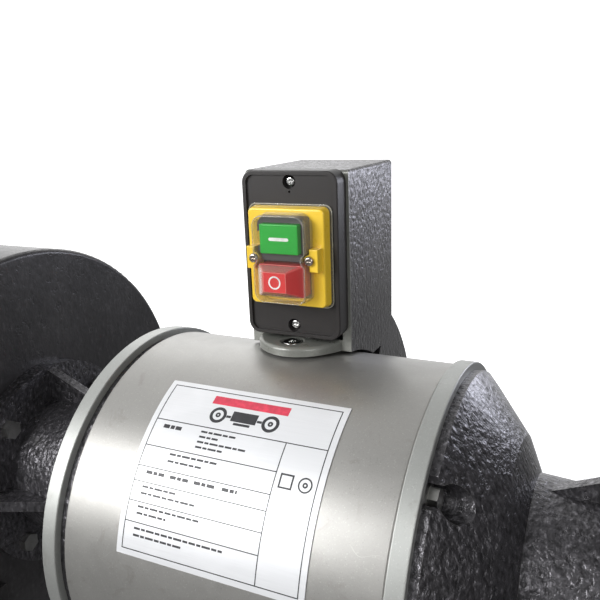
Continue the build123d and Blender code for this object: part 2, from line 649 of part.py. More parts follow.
def cable_gland():
    """Hollow gland in the lower end of the leg; its dome nut points down."""
    body = z_cyl(10, AXIS_Z - 1, AXIS_Z + 9, EAR_X, GLAND_Y)
    body = body + Pos(EAR_X, GLAND_Y, AXIS_Z - 7) * hex_bar(27, 6.8)
    body = body + z_cyl(11.5, AXIS_Z - 14, AXIS_Z - 6, EAR_X, GLAND_Y)
    dome = fillet(z_cyl(12.8, AXIS_Z - 30, AXIS_Z - 12, EAR_X, GLAND_Y).edges().group_by(Axis.Z)[0], 4)
    return body + dome - z_cyl(5.5, AXIS_Z - 31, AXIS_Z + 10, EAR_X, GLAND_Y)


# ---- switch: pieces below are drawn in the plate's own frame ----------------------------
PLATE_SCREW_Z = (7.4, 102.8)
PLATE_FACE = 1.6          # depth of the recessed face behind the rim
BEZEL_FACE = -6.0
BEZEL_BASE = 0.8
FRAME_FRONT = -12.0
START_FACE = -16.0
STOP_FACE = -23.7
STOP_SHOULDER = -14.3
BUTTON_BACK = -3.0
MODULE_FRONT = 5.0
STEM_R = 3.0
COVER_FRONT = -17.5


def switch_plate():
    plate = y_plate(PLATE_HALF, 0, PLATE_H, 8, 0, PLATE_D)
    plate = fillet(plate.edges().group_by(Axis.Y)[0], 0.9)
    plate = plate - y_plate(PLATE_HALF - 2.8, 2.8, PLATE_H - 2.8, 5.4, -1, PLATE_FACE)
    plate = plate - y_plate(PLATE_HALF - 2.6, 2.6, PLATE_H - 2.6, 5, PLATE_FACE + 3, PLATE_D + 1)
    for z in PLATE_SCREW_Z:
        plate = plate + y_cyl(6.5, PLATE_FACE + 2, PLATE_D, 0, z)
        plate = plate - y_cyl(4.6, -1, 5.5, 0, z) - y_cyl(2 + RUN, 0, PLATE_D + 1, 0, z)
    plate = plate - y_cyl(0.8, 0, 8, 0, 96.4)
    return switch(plate - y_plate(24.2, 29.8, 80.2, 3, 0, 8))


def phillips(x, y, z, arm):
    """Cross recess cutter for a screw head whose face is at y."""
    across = block(x - arm, x + arm, y - 1, y + 1.1, z - 0.45, z + 0.45)
    return across + block(x - 0.45, x + 0.45, y - 1, y + 1.1, z - arm, z + arm)


def pan_screw(x, z, seat, head_r, head_h, shank_r, tip):
    head = y_cyl(head_r, seat - head_h, seat, x, z)
    head = fillet(head.edges().group_by(Axis.Y)[0], head_h * 0.6)
    head = head - phillips(x, seat - head_h, z, head_r * 0.6)
    return head + y_cyl(shank_r, seat - 0.1, tip, x, z)


def plate_screws():
    return [switch(pan_screw(0, z, 5.5, 3.2, 2.2, 2.0, 27)) for z in PLATE_SCREW_Z]


def switch_gasket():
    ring = y_plate(30, 21.5, 89.1, 5, BEZEL_BASE, PLATE_FACE)
    return switch(ring - y_plate(24.2, 29.8, 80.2, 3, 0, 3))


def bezel_tab(side):
    tab = block(19.4, 25.3, -13, BEZEL_FACE + 1, COVER_SCREW_Z - 7.3, COVER_SCREW_Z + 7.3)
    tab = fillet(tab.edges().group_by(Axis.Y)[0], 0.6)
    tab = tab + y_cyl(3.7, -13, BEZEL_FACE + 1, COVER_SCREW_X, COVER_SCREW_Z)
    return tab if side > 0 else other_side(tab)


def switch_bezel():
    bezel = y_taper((26.9, 23.6, 86.7, 3.4, BEZEL_FACE), (28, 22.6, 87.7, 4, BEZEL_BASE))
    bezel = fillet(bezel.edges().group_by(Axis.Y)[0], 1.2)
    bezel = bezel - y_plate(17.3, 29, 82.5, 2, BEZEL_FACE - 1, BEZEL_BASE + 1)
    for side in (-1, 1):
        bezel = bezel + bezel_tab(side)
        bezel = bezel - y_cyl(1.5 + RUN, -14, 2, side * COVER_SCREW_X, COVER_SCREW_Z)
    return switch(bezel)


def switch_frame():
    """Black inner frame: a tall surround for the start button, a low one for the stop button."""
    frame = y_plate(17, 29.3, 82.2, 1.8, -5, BEZEL_BASE - 0.1)
    frame = frame + y_plate(17, 54.2, 82.2, 5.5, FRAME_FRONT, 0)
    frame = frame - y_plate(13.9, START_Z - 9.9, START_Z + 9.9, 1, -13, 4)
    frame = frame - y_plate(16.2, STOP_Z - 10.7, STOP_Z + 10.7, 1, -13, 4)
    for side in (-1, 1):
        frame = frame - y_cyl(5.4, -13, -6.5, side * COVER_SCREW_X, COVER_SCREW_Z)
        frame = frame - y_cyl(4.0, -7, 4, side * COVER_SCREW_X, COVER_SCREW_Z)
    return switch(frame - block(-18, -15.6, -13, BEZEL_FACE, 63.5, 73))


def start_button():
    cap = y_plate(13.5, START_Z - 9.5, START_Z + 9.5, 0.9, START_FACE, BUTTON_BACK)
    cap = fillet(cap.edges().group_by(Axis.Y)[0], 0.7)
    return switch(cap + y_cyl(STEM_R, BUTTON_BACK - 1, 12, 0, START_Z))


def stop_button():
    base = y_plate(15.8, STOP_Z - 10.3, STOP_Z + 10.3, 0.8, STOP_SHOULDER, BUTTON_BACK)
    nose = y_taper((7.8, 36.2, 49, 0.6, STOP_FACE), (15.6, STOP_Z - 10.1, STOP_Z + 10.1, 0.8, STOP_SHOULDER))
    return switch(base + nose + y_cyl(STEM_R, BUTTON_BACK - 1, 12, 0, STOP_Z))


def button_spring(z):
    """Coil between the button's back and the switch module."""
    wire, radius = 0.35, 4.4
    start, end = BUTTON_BACK + wire, MODULE_FRONT - wire
    path = Helix(pitch=(end - start) / 4, height=end - start, radius=radius, center=(0, start, z),
                 direction=(0, 1, 0))
    section = Plane(origin=path @ 0, z_dir=path % 0) * Circle(wire)
    return switch(sweep(section, path=path, is_frenet=True))


def clear_cover():
    """Thin moulded cover with a nose over the stop button and notches for its two screws."""
    outer = y_taper((18.2, 27.2, 83.6, 7, COVER_FRONT), (19.2, 26.2, 84.6, 7.6, BEZEL_FACE))
    outer = fillet(outer.edges().group_by(Axis.Y)[0], 0.8)
    inner = y_taper((17.4, 28, 82.8, 6.2, COVER_FRONT + 0.9), (18.4, 27, 83.8, 6.8, BEZEL_FACE + 0.01))
    nose = y_taper((8.7, 35.2, 50, 1, -24.8), (15.2, 31.3, 52.4, 1.6, -17))
    hollow = y_taper((8.2, 35.8, 49.4, 0.8, -24.2), (14.75, 31.7, 52, 1.4, -16))
    for side in (-1, 1):
        outer = outer - y_cyl(4.1, -30, 0, side * COVER_SCREW_X, COVER_SCREW_Z)
        inner = inner - y_cyl(4.9, -30, 0, side * COVER_SCREW_X, COVER_SCREW_Z)
    return switch(outer + nose - inner - hollow)


def cover_screws():
    screws = []
    for side in (-1, 1):
        screws.append(switch(pan_screw(side * COVER_SCREW_X, COVER_SCREW_Z, -13, 3.15, 2.4, 1.5, 3)))
    return screws


def switch_module():
    """Contactor block behind the plate, with guides for the two button stems."""
    module = block(-23.5, 23.5, MODULE_FRONT, 62, 30.5, 79.5)
    module = fillet(module.edges().filter_by(Axis.Y), 1.5)
    for z in (START_Z, STOP_Z):
        module = module - y_cyl(STEM_R + 0.08, MODULE_FRONT - 1, 18, 0, z)
    for x in TERMINAL_X:
        module = module - block(x - 4, x + 4, 50, 63, 69, 80) - block(x - 4, x + 4, 50, 63, 30, 41)
    return switch(module)


TERMINAL_X = (-17.0, -5.7, 5.7, 17.0)


def terminal_screws():
    screws = []
    for x in TERMINAL_X:
        screws.append(switch(z_cyl(3, 69, 71.5, x, 56)))
        screws.append(switch(z_cyl(3, 38.5, 41, x, 56)))
    return screws


def rating_plate():
    return sector(-62, 62, SHELL_R + 0.05, SHELL_R + 0.65, 22.8, 76)


# ---- export -------------------------------------------------------------------------
def main():
    os.makedirs("parts", exist_ok=True)
    save("base_casting", base_casting())
    save("foot_pads", *foot_pads())
    save("motor_bolts", *motor_bolts())
    save("motor_shell", motor_shell())
    save("end_rings", end_ring(RING_START_RIGHT), other_side(end_ring(RING_START_LEFT)))
    bell = end_bell()
    save("end_bell_right", bell)
    save("end_bell_left", other_side(bell))
    save("end_bell_bolts", *end_bell_bolts())
    save("stator_core", stator_core())
    save("stator_windings", stator_windings())
    save("bearing_outer_rings", *bearing_outer_rings())
    save("bearing_inner_rings", *bearing_inner_rings())
    save("bearing_balls", *bearing_balls())
    save("rotor_core", rotor_core())
    save("rotor_cage", *rotor_cage())
    save("arbor_shaft", arbor_shaft())
    save("wheel_flanges", *wheel_flanges())
    save("wheel_blotters", *wheel_blotters())
    save("arbor_nuts", *arbor_nuts())
    save("guard_cover_screws", *guard_cover_screws())
    save("guard_bolts", *guard_bolts())
    save("rest_clamp_screws", *rest_clamp_screws())
    save("guard_fitting_screws", *guard_fitting_screws())
    pairs = {"wheel": [grinding_wheel()], "guard": [guard()], "guard_cover": [guard_cover()],
             "rest_arm": [rest_arm()], "rest_pivot": rest_pivot(), "rest_table": [rest_table()],
             "spark_arrestor": [spark_arrestor()], "shield_arm": [shield_arm()],
             "shield_frame": [shield_frame()], "shield_lens": [shield_lens()]}
    for name, shapes in pairs.items():
        save(f"{name}_right", *shapes)
        save(f"{name}_left", *[other_side(s) for s in shapes])
    save("switch_box", switch_box())
    save("switch_box_screws", *switch_box_screws())
    save("cable_gland", cable_gland())
    save("switch_plate", switch_plate())
    save("plate_screws", *plate_screws())
    save("switch_gasket", switch_gasket())
    save("switch_bezel", switch_bezel())
    save("switch_frame", switch_frame())
    save("start_button", start_button())
    save("stop_button", stop_button())
    save("start_spring", button_spring(START_Z))
    save("stop_spring", button_spring(STOP_Z))
    save("clear_cover", clear_cover())
    save("cover_screws", *cover_screws())
    save("switch_module", switch_module())
    save("terminal_screws", *terminal_screws())
    save("rating_plate", rating_plate())


main()
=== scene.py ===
import math

import bmesh
import bpy
from bpy.props import FloatProperty, FloatVectorProperty, IntProperty, PointerProperty
from mathutils import Matrix, Vector


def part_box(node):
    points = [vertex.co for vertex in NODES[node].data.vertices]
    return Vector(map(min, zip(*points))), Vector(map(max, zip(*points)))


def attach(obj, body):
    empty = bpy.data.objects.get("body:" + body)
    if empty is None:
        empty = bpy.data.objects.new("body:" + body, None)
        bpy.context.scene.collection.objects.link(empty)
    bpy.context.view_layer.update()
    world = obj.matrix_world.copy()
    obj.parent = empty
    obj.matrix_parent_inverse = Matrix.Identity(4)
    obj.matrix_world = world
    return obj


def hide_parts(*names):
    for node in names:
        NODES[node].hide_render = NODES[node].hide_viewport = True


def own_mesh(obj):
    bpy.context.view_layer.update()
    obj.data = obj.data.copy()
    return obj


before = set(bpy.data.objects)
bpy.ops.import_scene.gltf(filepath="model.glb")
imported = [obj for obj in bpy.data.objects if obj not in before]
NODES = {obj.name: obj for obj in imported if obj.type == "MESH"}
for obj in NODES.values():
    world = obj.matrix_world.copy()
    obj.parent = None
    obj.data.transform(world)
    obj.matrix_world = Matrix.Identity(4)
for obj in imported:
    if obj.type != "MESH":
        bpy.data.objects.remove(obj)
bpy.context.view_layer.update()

bl_info = {
    "name": "Bench Grinder Finishes",
    "version": (1, 0, 0),
    "blender": (4, 5, 0),
    "location": "View3D > Sidebar > Grinder",
    "description": "Paint, plastics, steel, wheels, rating plate and studio for a bench grinder",
    "category": "Object",
}

# Places on the grinder that the pieces below are worked out from, in metres.
ARBOR_Z = sum(c.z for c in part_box("arbor_shaft")) / 2
START_LOW, START_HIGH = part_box("start_button")
STOP_LOW, STOP_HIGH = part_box("stop_button")
PLATE_LOW, PLATE_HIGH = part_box("rating_plate")
SWITCH_LOW, SWITCH_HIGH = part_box("switch_plate")
MM = 0.001

# Heights between which the painted shade on the box's side fades out, from full at its foot to none.
BOX_SHADE_FULL_Z, BOX_SHADE_END_Z = 0.345, 0.430

# The close view: where the camera stands from the switch plate's lower front edge, and its turn.
CAMERA_OFFSET = Vector((0.202287, -0.395889, 0.146190))
CAMERA_AZIMUTH, CAMERA_ELEVATION, CAMERA_ROLL = (math.radians(a) for a in (26.41, 15.23, -2.13))
SENSOR_WIDTH_MM = 36.0

# Sockets of Blender's colour Mix node, whose names repeat for each data type.
MIX_A, MIX_B, MIX_RESULT = 6, 7, 2

# Layout of the rating plate: shares of its length and half width, then rows as
# distance down, start and end across, and height, in millimetres.
HEAD_LINE = 0.265
COLUMN = 0.516
ROW_LINES = (0.42, 0.533, 0.613, 0.715, 0.82)
WORD_ROWS = (
    (33.2, -51, -38, 2.4), (32.9, -24, 0, 1.2), (36.2, -24, -11, 1.2), (39.5, -24, 9, 1.2),
    (42.8, -24, -5, 1.2), (50.2, -39, -6, 1.25), (54.4, -39, -15, 1.25), (62.8, -51, -38, 2.0),
    (62.8, -34, -21, 2.0), (62.8, -17, -3, 2.0), (62.8, 2, 12, 2.0), (71.8, -51, -26, 1.25),
    (75.6, -51, -12, 1.25), (83.4, -51, -8, 1.25), (87.2, -51, -30, 1.25), (96.0, -51, 10, 1.25),
    (100.0, -51, -16, 1.25),
)
DASH_LENGTHS = (4.4, 2.8, 5.6, 3.4)
INK_LIFT = 0.05 * MM


# ---- settings -----------------------------------------------------------------------
def colour_prop(name, description, default):
    return FloatVectorProperty(name=name, description=description, default=default, subtype="COLOR",
                               size=3, min=0.0, max=1.0)


def factor_prop(name, description, default):
    return FloatProperty(name=name, description=description, default=default, min=0.0, max=1.0,
                         subtype="FACTOR")


def length_prop(name, description, default):
    return FloatProperty(name=name, description=description, default=default, min=0.0, unit="LENGTH",
                         precision=5)


class GrinderPaint(bpy.types.PropertyGroup):
    motor: colour_prop("Motor Paint", "Silver-grey of the motor shell and covers", (0.355, 0.350, 0.335))
    ring: colour_prop("Ring Paint", "Grey of the flange rings", (0.40, 0.41, 0.395))
    casting: colour_prop("Casting Paint", "Grey enamel of the rough castings", (0.120, 0.116, 0.126))
    base: colour_prop("Base Paint", "Charcoal of the base and guards", (0.050, 0.048, 0.050))
    pebble: length_prop("Pebble Size", "Width of the bumps on a rough casting", 0.0022)
    gloss: factor_prop("Paint Roughness", "Roughness of the motor paint", 0.44)


class SwitchColours(bpy.types.PropertyGroup):
    plate: colour_prop("Plate", "Black of the switch plate", (0.028, 0.0255, 0.025))
    bezel: colour_prop("Bezel", "Yellow of the bezel", (0.92, 0.61, 0.045))
    start: colour_prop("Start", "Green of the start button", (0.002, 0.42, 0.030))
    stop: colour_prop("Stop", "Red of the stop button", (0.74, 0.036, 0.038))
    cover: colour_prop("Cover Tint", "Tint of the clear cover", (0.40, 0.385, 0.34))
    print_height: length_prop("Mark Height", "How far the button marks stand proud", 0.00008)
    bar_length: length_prop("Bar Length", "Length of the start mark", 0.0140)
    bar_width: length_prop("Bar Width", "Width of the start mark", 0.0021)
    ring_radius: length_prop("Ring Radius", "Outer radius of the stop mark", 0.0043)
    ring_width: length_prop("Ring Line", "Line width of the stop mark", 0.0010)


class WheelLooks(bpy.types.PropertyGroup):
    coarse: colour_prop("Coarse Wheel", "Colour of the coarse wheel", (0.115, 0.105, 0.100))
    fine: colour_prop("Fine Wheel", "Colour of the fine wheel", (0.215, 0.200, 0.190))
    coarse_grit: length_prop("Coarse Grit", "Grain size of the coarse wheel", 0.0011)
    fine_grit: length_prop("Fine Grit", "Grain size of the fine wheel", 0.0006)


class RatingPlateLayout(bpy.types.PropertyGroup):
    foil: colour_prop("Foil", "Brushed silver of the plate", (0.76, 0.77, 0.79))
    ink: colour_prop("Ink", "Dark ink", (0.030, 0.030, 0.034))
    band: colour_prop("Band", "Red band across the head of the plate", (0.62, 0.045, 0.085))
    margin: length_prop("Margin", "Plate edge to the printed border", 0.0036)
    line: length_prop("Line", "Width of the printed lines", 0.00060)
    step: FloatProperty(name="Strip Step", description="Angle between points along a curved line",
                        default=math.radians(1.0), subtype="ANGLE")


class StudioSettings(bpy.types.PropertyGroup):
    focal: FloatProperty(name="Focal Length", description="Lens of the camera in millimetres",
                         default=41.74, min=10.0, max=200.0)
    floor: colour_prop("Floor", "Pale floor and backdrop", (0.86, 0.86, 0.86))
    sweep: length_prop("Sweep Radius", "Radius of the curve between floor and backdrop", 0.8)
    key: FloatProperty(name="Key Power", description="Power of the main soft light in watts",
                       default=19.0, min=0.0)
    right: FloatProperty(name="Right Power",
                         description="Power of the weak light at the front right in watts",
                         default=6.6, min=0.0)
    back: FloatProperty(name="Back Power", description="Power of the light behind in watts",
                        default=4.5, min=0.0)
    glint: FloatProperty(name="Glint Power",
                         description="Power of the small cool light at the back right in watts",
                         default=2.1, min=0.0)
    paper_glow: FloatProperty(name="Paper Glow", description="How much the backdrop lights itself",
                              default=0.92, min=0.0)
    dim_side: FloatProperty(name="Dim Side", description="Brightness of the surroundings on the right",
                            default=0.20, min=0.0)
    bright_side: FloatProperty(name="Bright Side",
                               description="Brightness of the surroundings behind left",
                               default=1.34, min=0.0)
    segments: IntProperty(name="Sweep Steps", description="Steps in the backdrop's curve", default=24,
                          min=4)


SETTINGS = {"grinder_paint": GrinderPaint, "switch_colours": SwitchColours, "wheel_looks": WheelLooks,
            "rating_layout": RatingPlateLayout, "studio": StudioSettings}


# ---- node materials -----------------------------------------------------------------
class Finish:
    """A Principled material that is built up one layer at a time, in object space."""

    def __init__(self, name, colour, roughness, metallic=0.0, alpha=1.0):
        self.material = bpy.data.materials.new(name)
        self.material.use_nodes = True
        self.material.diffuse_color = (*colour, alpha)
        self.tree = self.material.node_tree
        self.shader = self.tree.nodes["Principled BSDF"]
        self.shader.inputs["Base Color"].default_value = (*colour, 1.0)
        self.shader.inputs["Roughness"].default_value = roughness
        self.shader.inputs["Metallic"].default_value = metallic
        self.coords = self.tree.nodes.new("ShaderNodeTexCoord")
        self.base = (*colour, 1.0)
        self.colour_out = None
        self.rough_out = None
        self.roughness = roughness
        self.normal_out = None

    def set(self, **sockets):
        """Sets shader sockets by name, with _ for a space."""
        for key, value in sockets.items():
            self.shader.inputs[key.replace("_", " ")].default_value = value
        return self

    def link(self, source, target):
        self.tree.links.new(source, target)

    def place(self, stretch):
        """Object coordinates; a share under 1 draws the pattern out along that axis."""
        mapping = self.tree.nodes.new("ShaderNodeMapping")
        mapping.inputs["Scale"].default_value = stretch
        self.link(self.coords.outputs["Object"], mapping.inputs["Vector"])
        return mapping.outputs["Vector"]

    def noise(self, size, detail=4.0, rough=0.55, stretch=(1, 1, 1), distortion=0.0):
        """Cloudy pattern whose patches are about size metres across."""
        node = self.tree.nodes.new("ShaderNodeTexNoise")
        node.inputs["Scale"].default_value = 1.0 / size
        node.inputs["Detail"].default_value = detail
        node.inputs["Roughness"].default_value = rough
        node.inputs["Distortion"].default_value = distortion
        self.link(self.place(stretch), node.inputs["Vector"])
        return node.outputs["Fac"]

    def cells(self, size, feature="F1", output="Distance"):
        """Grains of one size: their distance from the centre, or one tone for each."""
        node = self.tree.nodes.new("ShaderNodeTexVoronoi")
        node.feature = feature
        node.inputs["Scale"].default_value = 1.0 / size
        self.link(self.place((1, 1, 1)), node.inputs["Vector"])
        return node.outputs[output]

    def ramp(self, source, low, high, first=0.0, last=1.0):
        """Maps the source from low..high to first..last, and holds it at the ends."""
        node = self.tree.nodes.new("ShaderNodeMapRange")
        node.inputs["From Min"].default_value = low
        node.inputs["From Max"].default_value = high
        node.inputs["To Min"].default_value = first
        node.inputs["To Max"].default_value = last
        self.link(source, node.inputs["Value"])
        return node.outputs["Result"]

    def math(self, operation, a, b):
        node = self.tree.nodes.new("ShaderNodeMath")
        node.operation = operation
        for socket, value in zip(node.inputs, (a, b)):
            if isinstance(value, (int, float)):
                socket.default_value = value
            else:
                self.link(value, socket)
        return node.outputs["Value"]

    def tint(self, mask, colour):
        """Lays a colour over what is there, where the mask is 1."""
        mix = self.tree.nodes.new("ShaderNodeMix")
        mix.data_type = "RGBA"
        self.link(mask, mix.inputs["Factor"])
        if self.colour_out is None:
            mix.inputs[MIX_A].default_value = self.base
        else:
            self.link(self.colour_out, mix.inputs[MIX_A])
        mix.inputs[MIX_B].default_value = (*colour, 1.0)
        self.colour_out = mix.outputs[MIX_RESULT]
        return self

    def mottle(self, size, darker, lighter, detail):
        """Slow drift of the colour between a darker and a lighter tone."""
        drift = self.noise(size, detail)
        base = Vector(self.base[:3])
        self.tint(self.ramp(drift, 0.50, 0.30), base * darker)
        self.tint(self.ramp(drift, 0.52, 0.72), [min(c, 1.0) for c in base * lighter])
        return self

    def roughen(self, source, amount):
        """Adds the source, centred on one half, to the roughness."""
        centred = self.math("SUBTRACT", source, 0.5)
        scaled = self.math("MULTIPLY", centred, amount)
        start = self.rough_out if self.rough_out is not None else self.roughness
        self.rough_out = self.math("ADD", scaled, start)
        return self

    def bump(self, source, height, strength, where=None, invert=False):
        """Adds relief from the source, only where the mask allows if there is one."""
        node = self.tree.nodes.new("ShaderNodeBump")
        node.invert = invert
        node.inputs["Distance"].default_value = height
        node.inputs["Strength"].default_value = strength
        if where is not None:
            self.link(self.math("MULTIPLY", where, strength), node.inputs["Strength"])
        self.link(source, node.inputs["Height"])
        if self.normal_out is not None:
            self.link(self.normal_out, node.inputs["Normal"])
        self.normal_out = node.outputs["Normal"]
        return self

    def edge_wear_and_highlight(self, colour, amount=0.6, width=0.0006, patchy=True):
        """Rubs the finish thin in patches along the edges; with patchy off it paints an even highlight
        line along every edge instead.
        """
        rounded = self.tree.nodes.new("ShaderNodeBevel")
        rounded.samples = 3
        rounded.inputs["Radius"].default_value = width
        flat = self.tree.nodes.new("ShaderNodeNewGeometry")
        turn = self.tree.nodes.new("ShaderNodeVectorMath")
        turn.operation = "DOT_PRODUCT"
        self.link(rounded.outputs["Normal"], turn.inputs[0])
        self.link(flat.outputs["Normal"], turn.inputs[1])
        sharp = self.ramp(turn.outputs["Value"], 0.995, 0.93)
        if patchy:
            sharp = self.math("MULTIPLY", sharp, self.ramp(self.noise(0.006, 5.0), 0.42, 0.60))
        self.tint(self.math("MULTIPLY", sharp, amount), colour)
        return self

    def across(self, axis, low, high):
        """0 below the low mark and 1 above the high one, along one axis of the grinder."""
        split = self.tree.nodes.new("ShaderNodeSeparateXYZ")
        self.link(self.coords.outputs["Object"], split.inputs["Vector"])
        return self.ramp(split.outputs[axis], low, high)

    def done(self):
        """Links the layers to the shader."""
        if self.colour_out is not None:
            self.link(self.colour_out, self.shader.inputs["Base Color"])
        if self.rough_out is not None:
            floor = self.math("MAXIMUM", self.rough_out, 0.03)
            self.link(floor, self.shader.inputs["Roughness"])
        if self.normal_out is not None:
            self.link(self.normal_out, self.shader.inputs["Normal"])
        return self.material


def shade(colour, factor):
    """The colour made darker or lighter."""
    return [min(c * factor, 1.0) for c in colour]


def silver_paint(name, colour, roughness):
    """Metallic silver-grey enamel: fine flake, faint orange peel, scuffs, grime and hairlines."""
    f = Finish(name, colour, roughness, metallic=0.7)
    f.mottle(0.09, 0.92, 1.07, 2.0)
    flake = f.cells(0.00055, output="Color")
    f.tint(f.ramp(flake, 0.80, 1.0, 0.0, 0.30), shade(colour, 1.9))
    f.tint(f.ramp(flake, 0.22, 0.0, 0.0, 0.32), shade(colour, 0.55))
    scuff = f.noise(0.02, 6.0, 0.7, stretch=(1, 0.25, 0.25), distortion=1.5)
    f.tint(f.ramp(scuff, 0.70, 0.78, 0.0, 0.35), shade(colour, 1.8))
    grime_and_relief_shading = f.noise(0.016, 5.0, 0.65, distortion=0.6)
    f.tint(f.ramp(grime_and_relief_shading, 0.60, 0.76, 0.0, 0.30), (0.16, 0.135, 0.105))
    hairline = f.noise(0.045, 1.0, 0.3, stretch=(0.5, 1, 1), distortion=2.2)
    thread = f.math("ABSOLUTE", f.math("SUBTRACT", hairline, 0.5), 0.0)
    patches = f.ramp(f.noise(0.03, 2.0), 0.60, 0.68)
    f.tint(f.math("MULTIPLY", f.ramp(thread, 0.0022, 0.0, 0.0, 0.5), patches), (0.62, 0.61, 0.58))
    f.edge_wear_and_highlight((0.45, 0.44, 0.42), amount=0.35)
    f.roughen(f.noise(0.012, 5.0), 0.16)
    f.roughen(flake, 0.10)
    f.bump(f.noise(0.0016, 3.0), 0.00006, 0.5)
    f.bump(flake, 0.00002, 0.4)
    f.set(Coat_Weight=0.25, Coat_Roughness=0.22)
    return f.done()


def rough_casting(name, colour, pebble, roughness=0.30, relief=0.0015, metallic=0.6, grime_and_relief_shading=0.75,
                  smooth_front=None, top_height=None, front_colour=(0.215, 0.220, 0.200)):
    """Dark enamel over an as-cast skin: pebbles, pits and a soft gloss. Painted highlights sit on the
    bump tops, and painted shade sits in the hollows and pits.

    smooth_front and the height of the top face are given together, for the switch box. In front of
    the depth smooth_front the skin is dressed smooth, paler and duller. At the height of the top face
    the paint has darker mottled patches and a duller gloss, and painted shade darkens the sides
    towards the foot."""
    f = Finish(name, colour, roughness, metallic)
    f.mottle(0.05, 0.82, 1.25, 3.0)
    blobs = f.noise(pebble, 3.0, 0.5, stretch=(1, 1, 0.6))
    pebbles = f.cells(pebble * 1.25, "SMOOTH_F1")
    pits = f.ramp(f.noise(pebble * 2.2, 4.0, 0.6), 0.32, 0.42)
    # Painted highlights on the bump tops and painted shade in the hollows between them, then painted
    # shade in the pits.
    f.tint(f.ramp(blobs, 0.56, 0.70, 0.0, grime_and_relief_shading), shade(colour, 2.7))
    f.tint(f.ramp(blobs, 0.46, 0.34, 0.0, grime_and_relief_shading), shade(colour, 0.30))
    f.tint(f.ramp(pits, 0.6, 0.0, 0.0, 0.5), shade(colour, 0.4))
    rough_part = None
    if smooth_front is not None:
        # Painted shade that darkens the box's sides towards the foot.
        high = f.across("Z", BOX_SHADE_FULL_Z, BOX_SHADE_END_Z)
        f.tint(f.math("MULTIPLY", f.math("SUBTRACT", 1.0, high), 0.85), shade(colour, 0.32))
        # Darker mottled patches and a duller gloss on the top face.
        top = f.across("Z", top_height - 0.0015, top_height - 0.0004)
        f.tint(f.math("MULTIPLY", top, f.ramp(blobs, 0.44, 0.56, 0.9, 0.0)), shade(colour, 0.35))
        f.roughen(f.math("MAXIMUM", top, 0.5), 0.3)
        front = f.across("Y", smooth_front, smooth_front + 0.002)
        rough_part = f.math("MULTIPLY", front, f.math("ADD", f.math("MULTIPLY", high, 0.6), 0.4))
        bare = f.math("SUBTRACT", 1.0, front)
        f.tint(bare, front_colour)
        f.link(f.ramp(bare, 0.0, 1.0, metallic, 0.15), f.shader.inputs["Metallic"])
        specks = f.ramp(f.noise(0.0012, 5.0), 0.56, 0.70, 0.0, 0.4)
        f.tint(f.math("MULTIPLY", bare, specks), shade(front_colour, 0.5))
    f.edge_wear_and_highlight((0.30, 0.29, 0.27), amount=0.40)
    f.roughen(f.noise(0.008, 5.0), 0.18)
    f.bump(pits, relief * 0.7, 0.55, rough_part)
    f.bump(pebbles, relief, 0.45, rough_part, invert=True)
    f.bump(blobs, relief * 0.8, 0.9, rough_part)
    f.bump(f.noise(pebble * 0.25, 2.0), relief * 0.08, 0.5)
    f.set(Coat_Weight=0.25, Coat_Roughness=0.20)
    return f.done()


def moulded_plastic(name, colour, roughness, spark=0.0004, relief=0.00004, coat=0.0, shine=0.5,
                    edge=None):
    """Injection-moulded plastic with a spark-eroded grain and handling marks; a given edge colour paints
    a highlight line along the edges.
    """
    f = Finish(name, colour, roughness)
    f.mottle(0.03, 0.94, 1.06, 2.0)
    grain = f.noise(spark, 2.0)
    f.roughen(f.noise(0.006, 5.0), 0.14)
    f.roughen(grain, 0.10)
    dust = f.ramp(f.noise(0.0012, 6.0, 0.75), 0.66, 0.74, 0.0, 0.22)
    f.tint(dust, [min(c * 1.3 + 0.03, 1.0) for c in colour])
    # Without an edge colour the edges wear in patches; a given edge colour paints an even highlight line
    # along every edge.
    if edge is None:
        f.edge_wear_and_highlight([min(c * 1.35 + 0.02, 1.0) for c in colour], amount=0.4)
    else:
        f.edge_wear_and_highlight(edge, amount=0.85, width=0.0007, patchy=False)
    f.bump(grain, relief, 0.6)
    f.set(Coat_Weight=coat, Coat_Roughness=0.12, Specular_IOR_Level=shine)
    return f.done()


def machined_steel(name, colour, roughness, stretch=(1, 1, 1), grain=0.0007, stain=0.5):
    """Turned or plated steel: fine tool marks, faint stains, brighter edges."""
    f = Finish(name, colour, roughness, metallic=1.0)
    f.mottle(0.008, 0.80, 1.12, 4.0)
    lines = f.noise(grain, 3.0, 0.6, stretch)
    f.roughen(lines, 0.22)
    f.roughen(f.noise(0.005, 5.0), 0.20)
    stains = f.ramp(f.noise(0.010, 6.0, 0.7), 0.60, 0.74, 0.0, stain)
    f.tint(stains, shade(colour, 0.55))
    f.edge_wear_and_highlight(shade(colour, 1.3), amount=0.6)
    f.bump(lines, 0.00003, 0.5)
    return f.done()


def vitrified_wheel(name, colour, grit):
    """Bonded abrasive: packed grains of several tones with open pores."""
    f = Finish(name, colour, 0.86)
    f.mottle(0.05, 0.88, 1.12, 3.0)
    tone = f.cells(grit, output="Color")
    f.tint(f.ramp(tone, 0.62, 1.0, 0.0, 0.85), shade(colour, 2.3))
    f.tint(f.ramp(tone, 0.35, 0.0, 0.0, 0.8), shade(colour, 0.4))
    pore = f.cells(grit * 2.3)
    f.tint(f.ramp(pore, 0.55, 0.85, 0.0, 0.9), shade(colour, 0.22))
    f.roughen(tone, 0.20)
    f.bump(f.cells(grit), grit * 0.45, 0.8, invert=True)
    f.bump(pore, grit * 0.9, 0.6, invert=True)
    return f.done()


def soft_rubber(name, colour):
    """Matt black rubber with scuffed, dusty patches."""
    f = Finish(name, colour, 0.78)
    f.mottle(0.02, 0.80, 1.30, 4.0)
    f.tint(f.ramp(f.noise(0.004, 6.0, 0.7), 0.60, 0.76, 0.0, 0.35), (0.10, 0.095, 0.088))
    f.roughen(f.noise(0.003, 4.0), 0.16)
    f.bump(f.noise(0.0008, 3.0), 0.00008, 0.7)
    return f.done()


